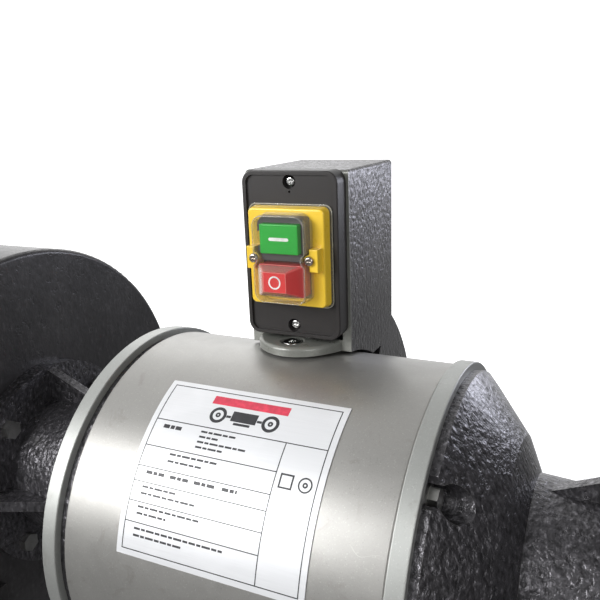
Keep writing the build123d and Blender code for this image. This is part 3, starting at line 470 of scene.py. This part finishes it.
def clear_plastic(name, tint, roughness, haze, alpha=0.35, edge=0.8):
    """Clear moulded plastic with a faint haze and finger marks.

    It shows with the share alpha where it is seen face on and edge where it turns away."""
    f = Finish(name, tint, roughness, alpha=alpha)
    smear = f.noise(0.006, 6.0, 0.65, distortion=0.8)
    f.roughen(smear, haze)
    f.tint(f.ramp(f.noise(0.0018, 5.0), 0.62, 0.78, 0.0, 0.15), shade(tint, 0.9))
    f.bump(f.noise(0.010, 2.0), 0.00010, 0.25)
    facing = f.tree.nodes.new("ShaderNodeLayerWeight")
    facing.inputs["Blend"].default_value = 0.35
    f.link(f.ramp(facing.outputs["Facing"], 0.15, 0.95, alpha, edge), f.shader.inputs["Alpha"])
    f.set(IOR=1.5, Specular_IOR_Level=0.9, Coat_Weight=1.0, Coat_Roughness=0.05)
    return f.done()


def brushed_foil(name, colour):
    """Printed aluminium foil with a lengthwise brush."""
    f = Finish(name, colour, 0.40, metallic=0.25)
    brush = f.noise(0.0009, 4.0, 0.65, stretch=(0.02, 1, 1))
    f.tint(f.ramp(brush, 0.62, 0.36, 0.0, 0.16), shade(colour, 0.72))
    f.mottle(0.03, 0.97, 1.04, 2.0)
    f.roughen(brush, 0.20)
    f.bump(brush, 0.00001, 0.5)
    return f.done()


def printed_ink(name, colour):
    """Slightly uneven screen-printed ink."""
    f = Finish(name, colour, 0.45)
    f.mottle(0.004, 0.8, 1.3, 4.0)
    f.roughen(f.noise(0.001, 4.0), 0.2)
    f.bump(f.noise(0.0005, 3.0), 0.00001, 0.4)
    return f.done()


def lacquered_copper(name):
    """Bundled winding wire under varnish."""
    f = Finish(name, (0.36, 0.13, 0.05), 0.30, metallic=0.7)
    strands = f.noise(0.0016, 2.0, 0.4, stretch=(0.08, 1, 1))
    f.tint(f.ramp(strands, 0.55, 0.40, 0.0, 0.7), (0.12, 0.035, 0.012))
    f.mottle(0.01, 0.8, 1.2, 3.0)
    f.roughen(strands, 0.2)
    f.bump(strands, 0.0004, 0.8)
    f.set(Coat_Weight=0.6, Coat_Roughness=0.15)
    return f.done()


def laminated_stack(name):
    """Thin steel sheets stacked along the arbor."""
    f = Finish(name, (0.30, 0.31, 0.33), 0.42, metallic=1.0)
    sheets = f.noise(0.0006, 1.0, 0.3, stretch=(1, 0.01, 0.01))
    f.tint(f.ramp(sheets, 0.55, 0.42, 0.0, 0.8), (0.10, 0.10, 0.11))
    f.mottle(0.02, 0.8, 1.15, 4.0)
    f.roughen(sheets, 0.3)
    f.bump(sheets, 0.00015, 0.8)
    return f.done()


def pressed_paper(name, colour):
    """Thick absorbent card with short fibres."""
    f = Finish(name, colour, 0.85)
    f.mottle(0.006, 0.88, 1.08, 5.0)
    fibre = f.noise(0.0006, 4.0, 0.7, distortion=1.2)
    f.tint(f.ramp(fibre, 0.6, 0.75, 0.0, 0.4), shade(colour, 0.7))
    f.roughen(fibre, 0.1)
    f.bump(fibre, 0.00005, 0.6)
    return f.done()


# ---- helpers for pieces -------------------------------------------------------------
def both(name):
    """The left and right node of one kind."""
    return [f"{name}_left", f"{name}_right"]


def dress(names, material):
    """Gives CAD nodes their material."""
    for name in names:
        node = NODES[name]
        if not node.material_slots:
            node.data.materials.append(material)
        for slot in node.material_slots:
            slot.material = material


def make_piece(name, bm, material, body):
    """Turns the mesh being built into a piece that rides on a body."""
    mesh = bpy.data.meshes.new(name)
    bm.normal_update()
    bm.to_mesh(mesh)
    bm.free()
    piece = bpy.data.objects.new(name, mesh)
    bpy.context.scene.collection.objects.link(piece)
    mesh.materials.append(material)
    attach(piece, body)
    return piece


def band(bm, here, there, smooth=False):
    """Faces between two matching closed rings of vertices."""
    count = len(here)
    for i in range(count):
        j = (i + 1) % count
        bm.faces.new((here[i], here[j], there[j], there[i])).smooth = smooth


def thick_outline(bm, outline, lift):
    """A closed low pad between an outline and the same outline lifted."""
    low = [bm.verts.new(p) for p in outline]
    high = [bm.verts.new(p + lift) for p in outline]
    bm.faces.new(list(reversed(low)))
    bm.faces.new(high)
    band(bm, low, high)


def tube_ring(bm, place, out, radius, sides=8):
    """Vertices round one point of a thin tube, in the plane of out and the depth axis."""
    ring = []
    for k in range(sides):
        a = 2 * math.pi * k / sides
        offset = out * (radius * math.cos(a)) + Vector((0, radius * math.sin(a), 0))
        ring.append(bm.verts.new(place + offset))
    return ring


def rounded_path(x0, x1, z0, z1, radius, steps=10):
    """Closed rounded rectangle as (x, z) points, going round once."""
    corners = ((x1, z1, 0), (x0, z1, 90), (x0, z0, 180), (x1, z0, 270))
    path = []
    for x, z, start in corners:
        cx = x - math.copysign(radius, x - (x0 + x1) / 2)
        cz = z - math.copysign(radius, z - (z0 + z1) / 2)
        for i in range(steps + 1):
            a = math.radians(start + 90 * i / steps)
            path.append((cx + radius * math.cos(a), cz + radius * math.sin(a)))
    return path


def notch_path(path, screw, reach, steps=8):
    """Leads the path round a screw on each side instead of past it."""
    result = []
    for here, there in zip(path, path[1:] + path[:1]):
        result.append(here)
        side = math.copysign(1, here[0])
        gap = abs(screw.x) - abs(here[0])
        crosses = (here[1] - screw.z) * (there[1] - screw.z) < 0
        if not crosses or abs(gap) >= reach:
            continue
        half = math.acos(gap / reach)
        turn = math.copysign(1, here[1] - screw.z)
        for i in range(steps + 1):
            a = half * turn * (1 - 2 * i / steps)
            result.append((side * (abs(screw.x) - reach * math.cos(a)), screw.z + reach * math.sin(a)))
    return result


def bead(bm, path, y, radius):
    """A round bead along a closed (x, z) path at one depth."""
    rings = []
    count = len(path)
    for i, (x, z) in enumerate(path):
        before, after = path[i - 1], path[(i + 1) % count]
        along = Vector((after[0] - before[0], 0, after[1] - before[1])).normalized()
        rings.append(tube_ring(bm, Vector((x, y, z)), Vector((along.z, 0, -along.x)), radius))
    for i in range(count):
        band(bm, rings[i], rings[(i + 1) % count], smooth=True)
    bmesh.ops.recalc_face_normals(bm, faces=bm.faces)


def operator_ready(context):
    """Stops with a plain message when the settings aren't registered."""
    for key in SETTINGS:
        if not hasattr(context.scene, key):
            raise RuntimeError(f"the {key} settings aren't registered")


class GrinderOperator(bpy.types.Operator):
    """Base for the operators that finish one group of pieces."""
    bl_options = {"REGISTER", "UNDO"}

    def execute(self, context):
        operator_ready(context)
        self.build(context.scene)
        return {"FINISHED"}


# ---- operators ----------------------------------------------------------------------
class GRINDER_OT_castings(GrinderOperator):
    """Paints the motor shell, rings, end bells, guards, covers and base"""
    bl_idname = "grinder.castings"
    bl_label = "Paint Castings"

    def build(self, scene):
        paint = scene.grinder_paint
        gloss = paint.gloss
        dress(["motor_shell"], silver_paint("motor_silver_enamel", paint.motor, gloss))
        dress(["end_rings"], silver_paint("ring_silver_enamel", paint.ring, gloss + 0.06))
        dress(both("guard_cover"), silver_paint("cover_silver_enamel", paint.motor, gloss + 0.04))
        box = rough_casting("grey_box_casting", paint.casting, paint.pebble,
                            smooth_front=SWITCH_HIGH.y, top_height=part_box("switch_box")[1].z)
        dress(["switch_box"], box)
        # Painted shade: the end bells take the box's casting paint made darker, for their side turned
        # from the light.
        bell = rough_casting("grey_bell_casting", shade(paint.casting, 0.75), paint.pebble * 1.3)
        dress(both("end_bell"), bell)
        guard = rough_casting("charcoal_guard_casting", paint.base, paint.pebble * 1.5, roughness=0.38,
                              relief=0.0003, metallic=0.3, grime_and_relief_shading=0.25)
        dress(both("guard"), guard)
        base = rough_casting("charcoal_base_casting", paint.base, paint.pebble * 1.6, roughness=0.40,
                             relief=0.0004, metallic=0.3, grime_and_relief_shading=0.25)
        dress(["base_casting"], base)
        dress(["foot_pads"], soft_rubber("foot_rubber", (0.022, 0.021, 0.021)))


class GRINDER_OT_fasteners(GrinderOperator):
    """Gives the screws, bolts and pivots their plated steel or brass"""
    bl_idname = "grinder.fasteners"
    bl_label = "Finish Fasteners"

    def build(self, scene):
        zinc = machined_steel("zinc_plated_steel", (0.50, 0.50, 0.48), 0.34)
        dress(["motor_bolts", "end_bell_bolts", "guard_cover_screws", "guard_bolts", "rest_clamp_screws",
               "guard_fitting_screws", *both("rest_pivot")], zinc)
        nickel = machined_steel("nickel_screw", (0.62, 0.62, 0.61), 0.20, grain=0.0004, stain=0.25)
        dress(["plate_screws", "switch_box_screws"], nickel)
        bronzed = machined_steel("bronzed_screw", (0.42, 0.37, 0.33), 0.22, grain=0.0004, stain=0.25)
        dress(["cover_screws"], bronzed)
        dress(["terminal_screws"], machined_steel("terminal_brass", (0.60, 0.40, 0.14), 0.30))


class GRINDER_OT_wheels(GrinderOperator):
    """Finishes the wheels, blotters, flanges, nuts and arbor"""
    bl_idname = "grinder.wheels"
    bl_label = "Finish Wheels"

    def build(self, scene):
        looks = scene.wheel_looks
        dress(["wheel_left"], vitrified_wheel("coarse_abrasive", looks.coarse, looks.coarse_grit))
        dress(["wheel_right"], vitrified_wheel("fine_abrasive", looks.fine, looks.fine_grit))
        dress(["wheel_blotters"], pressed_paper("blotter_paper", (0.40, 0.28, 0.15)))
        turned = (1, 0.05, 0.05)  # tool marks that run round the arbor
        dress(["wheel_flanges"], machined_steel("flange_steel", (0.40, 0.41, 0.41), 0.38, turned))
        dress(["arbor_nuts"], machined_steel("nut_steel", (0.46, 0.46, 0.45), 0.36))
        dress(["arbor_shaft"], machined_steel("ground_shaft_steel", (0.52, 0.53, 0.54), 0.26, turned))


class GRINDER_OT_motor_insides(GrinderOperator):
    """Finishes the stack, windings, rotor and bearings"""
    bl_idname = "grinder.motor_insides"
    bl_label = "Finish Motor Insides"

    def build(self, scene):
        dress(["stator_core", "rotor_core"], laminated_stack("laminated_steel"))
        dress(["stator_windings"], lacquered_copper("lacquered_windings"))
        dress(["rotor_cage"], machined_steel("cast_cage_alloy", (0.62, 0.63, 0.65), 0.45))
        bearing = machined_steel("bearing_steel", (0.60, 0.61, 0.63), 0.14, grain=0.0003, stain=0.1)
        dress(["bearing_outer_rings", "bearing_inner_rings", "bearing_balls"], bearing)


class GRINDER_OT_rests(GrinderOperator):
    """Finishes the tool rests, spark arrestors and eye shields"""
    bl_idname = "grinder.rests"
    bl_label = "Finish Rests and Shields"

    def build(self, scene):
        iron = machined_steel("ground_cast_iron", (0.33, 0.33, 0.325), 0.44, stretch=(1, 0.06, 1),
                              grain=0.0009, stain=0.6)
        dress(both("rest_table"), iron)
        enamel = rough_casting("black_arm_enamel", (0.030, 0.029, 0.030), 0.0035, roughness=0.34,
                               relief=0.00012, metallic=0.1, grime_and_relief_shading=0.2)
        dress([*both("rest_arm"), *both("shield_arm")], enamel)
        sheet = machined_steel("arrestor_steel", (0.42, 0.42, 0.41), 0.40, stretch=(1, 1, 0.08))
        dress(both("spark_arrestor"), sheet)
        dress(both("shield_frame"), moulded_plastic("shield_frame_plastic", (0.022, 0.022, 0.023), 0.48))
        lens = clear_plastic("polycarbonate_lens", (0.58, 0.64, 0.64), 0.04, haze=0.05, alpha=0.06,
                             edge=0.34)
        dress(both("shield_lens"), lens)


class GRINDER_OT_switch(GrinderOperator):
    """Finishes the switch, with its moulded edges, button marks and springs"""
    bl_idname = "grinder.switch"
    bl_label = "Finish Switch"

    def build(self, scene):
        c = scene.switch_colours
        dress(["switch_plate"], moulded_plastic("plate_black_plastic", c.plate, 0.42, spark=0.0005,
                                                relief=0.00006, shine=0.35))
        dress(["switch_bezel"], moulded_plastic("bezel_yellow_plastic", c.bezel, 0.30, spark=0.0006,
                                                relief=0.00002, coat=0.3))
        dress(["switch_frame"], moulded_plastic("inner_frame_plastic", (0.055, 0.055, 0.055), 0.42))
        dress(["start_button"], moulded_plastic("start_green_plastic", c.start, 0.36, spark=0.0006,
                                                relief=0.00003, coat=0.15))
        # The stop button's pale pink edge colour paints highlight lines along its facets.
        dress(["stop_button"], moulded_plastic("stop_red_plastic", c.stop, 0.32, spark=0.0006,
                                               relief=0.00003, coat=0.25, edge=(0.95, 0.42, 0.38)))
        dress(["switch_gasket"], clear_plastic("gasket_clear_plastic", (0.30, 0.30, 0.26), 0.16,
                                               haze=0.2))
        dress(["clear_cover"], clear_plastic("cover_clear_plastic", c.cover, 0.06, haze=0.08,
                                             alpha=0.04, edge=0.72))
        dress(["switch_module"], moulded_plastic("module_black_plastic", (0.030, 0.030, 0.030), 0.50))
        dress(["cable_gland"], moulded_plastic("gland_black_nylon", (0.025, 0.025, 0.026), 0.52))
        self.cover_bead()
        self.gasket_bead()
        white = printed_ink("mark_white_ink", (0.90, 0.90, 0.88))
        self.start_mark(c, white)
        self.stop_mark(c, white)
        steel = machined_steel("spring_steel", (0.50, 0.51, 0.52), 0.25)
        self.spring("start", steel)
        self.spring("stop", steel)

    def cover_bead(self):
        """Rounded edge round the front of the clear cover, in and out of the screw notches, in a milky
        plastic that paints a highlight line along the front edge.
        """
        low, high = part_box("clear_cover")
        draft, corner, notch_reach, inset = 1.35 * MM, 6.65 * MM, 4.1 * MM, 0.35 * MM
        nose_depth = 7.3 * MM  # how far the nose over the stop button stands out from the front
        x1, z0, z1 = high.x - draft, low.z + draft, high.z - draft
        screw_low, screw_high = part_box("cover_screws")
        head = (screw_high.z - screw_low.z) / 2
        screw = Vector((screw_high.x - head, 0, (screw_low.z + screw_high.z) / 2))
        path = notch_path(rounded_path(-x1, x1, z0, z1, corner), screw, notch_reach + inset)
        bm = bmesh.new()
        bead(bm, path, low.y + nose_depth + inset, 0.30 * MM)
        edge = clear_plastic("cover_edge_plastic", (0.50, 0.48, 0.43), 0.12, haze=0.05, alpha=0.34)
        make_piece("cover_edge_bead", bm, edge, "frame")

    def gasket_bead(self):
        """Rounded outer lip of the clear gasket, in a paler plastic that paints a bright highlight line
        along its edge.
        """
        low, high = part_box("switch_gasket")
        inset, corner = 0.45 * MM, 5.0 * MM
        path = rounded_path(low.x + inset, high.x - inset, low.z + inset, high.z - inset, corner)
        bm = bmesh.new()
        bead(bm, path, low.y + 0.1 * MM, 0.38 * MM)
        lip = clear_plastic("gasket_lip_plastic", (0.74, 0.73, 0.64), 0.10, haze=0.05, edge=0.9)
        make_piece("gasket_lip_bead", bm, lip, "frame")

    def spring(self, button, steel):
        """Coil behind a button, in place of its spring part, which is hidden."""
        low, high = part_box(f"{button}_spring")
        wire, turns, steps = 0.35 * MM, 4, 24
        radius = (high.x - low.x) / 2 - wire
        centre = (low + high) / 2
        start, length = low.y + wire, high.y - low.y - 2 * wire
        bm = bmesh.new()
        rings = []
        for i in range(turns * steps + 1):
            a = 2 * math.pi * i / steps
            out = Vector((math.cos(a), 0, math.sin(a)))
            place = Vector((centre.x, start + length * i / (turns * steps), centre.z)) + out * radius
            rings.append(tube_ring(bm, place, out, wire))
        for here, there in zip(rings, rings[1:]):
            band(bm, here, there, smooth=True)
        bm.faces.new(rings[0])
        bm.faces.new(rings[-1])
        bmesh.ops.recalc_face_normals(bm, faces=bm.faces)
        coil = make_piece(f"{button}_spring_coil", bm, steel, "frame")
        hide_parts(f"{button}_spring")
        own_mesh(coil)

    def start_mark(self, c, white):
        """Raised bar with round ends on the start button."""
        centre = Vector((0, START_LOW.y, (START_LOW.z + START_HIGH.z) / 2))
        bm = bmesh.new()
        half, end, steps = c.bar_width / 2, c.bar_length / 2 - c.bar_width / 2, 8
        outline = []
        for side in (1, -1):
            for i in range(steps + 1):
                a = math.radians(-90 * side + i * 180 / steps)
                outline.append(centre + Vector((side * end + half * math.cos(a), 0, half * math.sin(a))))
        thick_outline(bm, outline, Vector((0, -c.print_height, 0)))
        make_piece("start_mark", bm, white, "start")

    def stop_mark(self, c, white):
        """Raised ring on the stop button."""
        above_middle, steps = 0.9 * MM, 48
        centre = Vector((0, STOP_LOW.y, (STOP_LOW.z + STOP_HIGH.z) / 2 + above_middle))
        outer, inner, height = c.ring_radius, c.ring_radius - c.ring_width, c.print_height
        bm = bmesh.new()
        loops = []
        for radius, lift in ((outer, 0.0), (outer, height), (inner, height), (inner, 0.0)):
            loop = []
            for i in range(steps):
                a = 2 * math.pi * i / steps
                offset = Vector((radius * math.cos(a), -lift, radius * math.sin(a)))
                loop.append(bm.verts.new(centre + offset))
            loops.append(loop)
        for here, there in zip(loops, loops[1:] + loops[:1]):
            band(bm, here, there)
        bmesh.ops.recalc_face_normals(bm, faces=bm.faces)
        make_piece("stop_mark", bm, white, "stop")


class GRINDER_OT_rating_plate(GrinderOperator):
    """Prints the rating plate's border, table lines, rows and a plain wheel symbol"""
    bl_idname = "grinder.rating_plate"
    bl_label = "Print Rating Plate"

    def build(self, scene):
        layout = scene.rating_layout
        dress(["rating_plate"], brushed_foil("brushed_silver_foil", layout.foil))
        corners = NODES["rating_plate"].data.vertices
        self.radius = max(math.hypot(v.co.y, v.co.z - ARBOR_Z) for v in corners)
        self.step = layout.step
        self.top = math.asin(-PLATE_HIGH.y / self.radius)
        low = math.acos((PLATE_LOW.z - ARBOR_Z) / self.radius)
        self.length = (low - self.top) * self.radius
        self.half = PLATE_HIGH.x
        bm = bmesh.new()
        self.table(bm, layout)
        self.rows(bm)
        self.grinder_symbol(bm)
        self.corner_marks(bm)
        ink = printed_ink("rating_ink", layout.ink)
        make_piece("rating_plate_print", bm, ink, "frame")
        left, right, upper, lower = -26 * MM, 26.5 * MM, 7.4 * MM, 13.4 * MM
        bm = bmesh.new()
        self.strip(bm, left, right, upper, lower)
        red = printed_ink("band_ink", layout.band)
        make_piece("rating_plate_band", bm, red, "frame")

    def on_plate(self, x, s, lift):
        """Point x across and s down the plate, lift above its face."""
        angle = self.top + s / self.radius
        r = self.radius + lift
        return Vector((x, -r * math.sin(angle), ARBOR_Z + r * math.cos(angle)))

    def strip(self, bm, x0, x1, s0, s1):
        """Low curved bar of ink between two corners of the plate's face."""
        count = max(1, math.ceil((s1 - s0) / (self.step * self.radius)))
        sunk = -INK_LIFT / 2
        rings = []
        for i in range(count + 1):
            s = s0 + (s1 - s0) * i / count
            corners = ((x0, sunk), (x1, sunk), (x1, INK_LIFT), (x0, INK_LIFT))
            rings.append([bm.verts.new(self.on_plate(x, s, h)) for x, h in corners])
        for here, there in zip(rings, rings[1:]):
            band(bm, here, there)
        bm.faces.new(list(reversed(rings[0])))
        bm.faces.new(rings[-1])

    def table(self, bm, layout):
        """Printed border, and the lines of the table inside it."""
        w, m = layout.line, layout.margin
        left, right = -self.half + m, self.half - m
        top, end = m, self.length - m
        self.strip(bm, left, right, top, top + w)
        self.strip(bm, left, right, end - w, end)
        self.strip(bm, left, left + w, top + w, end - w)
        self.strip(bm, right - w, right, top + w, end - w)
        head = HEAD_LINE * self.length
        column = COLUMN * self.half
        self.strip(bm, left + w, right - w, head, head + w)
        self.strip(bm, column, column + w, head + w, end - w)
        for share in ROW_LINES:
            self.strip(bm, left + w, column, share * self.length, share * self.length + w)

    def rows(self, bm):
        """Short blocks that stand where printed words would be."""
        for s, x0, x1, height in WORD_ROWS:
            self.dashes(bm, x0 * MM, x1 * MM, s * MM, height * MM)

    def dashes(self, bm, x0, x1, s, height):
        """A run of uneven bars, spaced like words."""
        gap = 0.8 * MM
        x, i = x0, 0
        while x < x1 - gap:
            end = min(x + DASH_LENGTHS[i % len(DASH_LENGTHS)] * MM, x1)
            self.strip(bm, x, end, s, s + height)
            x = end + gap
            i += 1

    def grinder_symbol(self, bm):
        """Two wheels on a shaft either side of a motor block, drawn as plain shapes."""
        centre, wheel_x, block, foot, shaft = 20.8 * MM, 18 * MM, 8.6 * MM, 5.6 * MM, 0.8 * MM
        for side in (-1, 1):
            self.ring(bm, centre, 5.6 * MM, 3.6 * MM, side * wheel_x)
            self.ring(bm, centre, 1.7 * MM, 0.5 * MM, side * wheel_x)
            near, far = sorted((side * 9 * MM, side * 12.2 * MM))
            self.strip(bm, near, far, centre - shaft, centre + shaft)
        self.strip(bm, -block, block, centre - 4.4 * MM, centre + 2.6 * MM)
        self.strip(bm, -foot, foot, centre + 3.3 * MM, centre + 4.9 * MM)

    def corner_marks(self, bm):
        """A square outline and a ring in the narrow column."""
        x, s, half, line, ring_x = 39.5 * MM, 52 * MM, 4.2 * MM, 1.0 * MM, 51.2 * MM
        self.strip(bm, x - half, x + half, s - half, s - half + line)
        self.strip(bm, x - half, x + half, s + half - line, s + half)
        self.strip(bm, x - half, x - half + line, s - half + line, s + half - line)
        self.strip(bm, x + half - line, x + half, s - half + line, s + half - line)
        self.ring(bm, s, 4.3 * MM, 3.4 * MM, ring_x)
        self.ring(bm, s, 1.6 * MM, 0.6 * MM, ring_x)

    def ring(self, bm, centre, outer, inner, across):
        """Low ring of ink."""
        steps, sunk = 40, -INK_LIFT / 2
        profile = ((outer, sunk), (outer, INK_LIFT), (inner, INK_LIFT), (inner, sunk))
        loops = []
        for radius, height in profile:
            loop = []
            for i in range(steps):
                a = 2 * math.pi * i / steps
                x, s = across + radius * math.cos(a), centre + radius * math.sin(a)
                loop.append(bm.verts.new(self.on_plate(x, s, height)))
            loops.append(loop)
        for here, there in zip(loops, loops[1:] + loops[:1]):
            band(bm, here, there)
        bmesh.ops.recalc_face_normals(bm, faces=bm.faces)


class GRINDER_OT_stage(GrinderOperator):
    """Sets the pale sweep, the soft lights and the camera"""
    bl_idname = "grinder.stage"
    bl_label = "Set Stage"

    def build(self, scene):
        studio = scene.studio
        self.backdrop(studio)
        self.lights(scene, studio)
        self.camera(scene, studio)
        scene.view_settings.view_transform = "Standard"

    def backdrop(self, studio):
        """Floor that curves up into a wall, with a glow that leaves the contact shadow near the base."""
        bm = bmesh.new()
        front, back, side, top, bend = -4.0, 3.2, 6.0, 5.0, studio.sweep
        profile = [(front, 0.0), (back - bend, 0.0)]
        for i in range(1, studio.segments + 1):
            a = math.pi / 2 * i / studio.segments
            profile.append((back - bend + bend * math.sin(a), bend * (1 - math.cos(a))))
        profile.append((back, top))
        edges = [[bm.verts.new((x, y, z)) for x in (-side, side)] for y, z in profile]
        for here, there in zip(edges, edges[1:]):
            bm.faces.new((here[0], here[1], there[1], there[0])).smooth = True
        mesh = bpy.data.meshes.new("studio_sweep")
        bm.to_mesh(mesh)
        bm.free()
        sweep = bpy.data.objects.new("studio_sweep", mesh)
        bpy.context.scene.collection.objects.link(sweep)
        f = Finish("studio_paper", studio.floor, 0.9)
        f.mottle(0.8, 0.99, 1.01, 2.0)
        f.bump(f.noise(0.002, 2.0), 0.00002, 0.3)
        f.set(Emission_Color=(1.0, 1.0, 1.0, 1.0))
        away = f.tree.nodes.new("ShaderNodeVectorMath")
        away.operation = "LENGTH"
        f.link(f.coords.outputs["Object"], away.inputs[0])
        near, far = 0.45, 1.1
        glow = f.ramp(away.outputs["Value"], near, far, 0.6 * studio.paper_glow, studio.paper_glow + 0.1)
        f.link(glow, f.shader.inputs["Emission Strength"])
        mesh.materials.append(f.done())
        sweep.visible_glossy = False
        sweep.visible_diffuse = False

    def lights(self, scene, studio):
        """Soft surroundings, brightest behind left, and four lamps. The view sees them as white."""
        bright_way = Vector((-0.75, 0.60, 0.27)).normalized()
        world = bpy.data.worlds.new("studio_world")
        world.use_nodes = True
        nodes, links = world.node_tree.nodes, world.node_tree.links
        background = nodes["Background"]
        background.inputs["Color"].default_value = (1.0, 1.0, 1.0, 1.0)
        direction = nodes.new("ShaderNodeTexCoord")
        toward = nodes.new("ShaderNodeVectorMath")
        toward.operation = "DOT_PRODUCT"
        toward.inputs[1].default_value = bright_way
        levels = nodes.new("ShaderNodeMapRange")
        levels.interpolation_type = "SMOOTHSTEP"
        levels.inputs["From Min"].default_value = 0.10
        levels.inputs["From Max"].default_value = 0.97
        levels.inputs["To Min"].default_value = studio.dim_side
        levels.inputs["To Max"].default_value = studio.bright_side
        links.new(direction.outputs["Generated"], toward.inputs[0])
        links.new(toward.outputs["Value"], levels.inputs["Value"])
        seen = nodes.new("ShaderNodeLightPath")
        direct = nodes.new("ShaderNodeMix")
        direct.inputs["B"].default_value = 1.0
        links.new(seen.outputs["Is Camera Ray"], direct.inputs["Factor"])
        links.new(levels.outputs["Result"], direct.inputs["A"])
        links.new(direct.outputs["Result"], background.inputs["Strength"])
        scene.world = world
        target = Vector((0.0, 0.0, ARBOR_Z + 0.1))
        self.area("key_light", Vector((-0.75, -1.05, 0.85)), target, 0.7, studio.key)
        self.area("right_light", Vector((1.0, -0.95, 0.75)), target, 0.8, studio.right)
        self.area("back_light", Vector((-1.1, 1.5, 1.3)), target, 1.2, studio.back)
        cool = (0.86, 0.88, 1.0)
        self.area("glint_light", Vector((0.46, 0.78, 0.50)), SWITCH_HIGH, 0.3, studio.glint, cool)

    def area(self, name, place, target, size, power, colour=(1.0, 1.0, 1.0)):
        """A square lamp turned to its target."""
        light = bpy.data.lights.new(name, "AREA")
        light.color = colour
        light.shape = "SQUARE"
        light.size = size
        light.energy = power
        lamp = bpy.data.objects.new(name, light)
        lamp.location = place
        lamp.rotation_euler = (target - place).to_track_quat("-Z", "Y").to_euler()
        bpy.context.scene.collection.objects.link(lamp)

    def camera(self, scene, studio):
        """Close view over the right front corner, set from the switch plate's lower front edge."""
        data = bpy.data.cameras.new("view_camera")
        data.lens = studio.focal
        data.sensor_width = SENSOR_WIDTH_MM
        data.clip_start = 0.01
        camera = bpy.data.objects.new("view_camera", data)
        foot = Vector(((SWITCH_LOW.x + SWITCH_HIGH.x) / 2, SWITCH_LOW.y, SWITCH_LOW.z))
        level = math.cos(CAMERA_ELEVATION)
        back = Vector((math.sin(CAMERA_AZIMUTH) * level, -math.cos(CAMERA_AZIMUTH) * level,
                       math.sin(CAMERA_ELEVATION)))
        turn = (-back).to_track_quat("-Z", "Y").to_matrix() @ Matrix.Rotation(CAMERA_ROLL, 3, "Z")
        camera.matrix_world = Matrix.Translation(foot + CAMERA_OFFSET) @ turn.to_4x4()
        scene.collection.objects.link(camera)
        scene.camera = camera


class GRINDER_PT_panel(bpy.types.Panel):
    """Lists the finishing steps and their settings"""
    bl_label = "Bench Grinder"
    bl_idname = "GRINDER_PT_panel"
    bl_space_type = "VIEW_3D"
    bl_region_type = "UI"
    bl_category = "Grinder"

    def draw(self, context):
        for step in STEPS:
            self.layout.operator(step.bl_idname)
        for key, group in SETTINGS.items():
            box = self.layout.box()
            for name in group.__annotations__:
                box.prop(getattr(context.scene, key), name)


STEPS = (GRINDER_OT_castings, GRINDER_OT_fasteners, GRINDER_OT_wheels, GRINDER_OT_motor_insides,
         GRINDER_OT_rests, GRINDER_OT_switch, GRINDER_OT_rating_plate, GRINDER_OT_stage)


def register():
    for cls in (*SETTINGS.values(), *STEPS, GRINDER_PT_panel):
        bpy.utils.register_class(cls)
    for key, group in SETTINGS.items():
        setattr(bpy.types.Scene, key, PointerProperty(type=group))


def unregister():
    for key in SETTINGS:
        delattr(bpy.types.Scene, key)
    for cls in reversed((*SETTINGS.values(), *STEPS, GRINDER_PT_panel)):
        bpy.utils.unregister_class(cls)


def main():
    register()
    for step in STEPS:
        group, name = step.bl_idname.split(".")
        getattr(getattr(bpy.ops, group), name)()


if __name__ == "__main__":
    main()
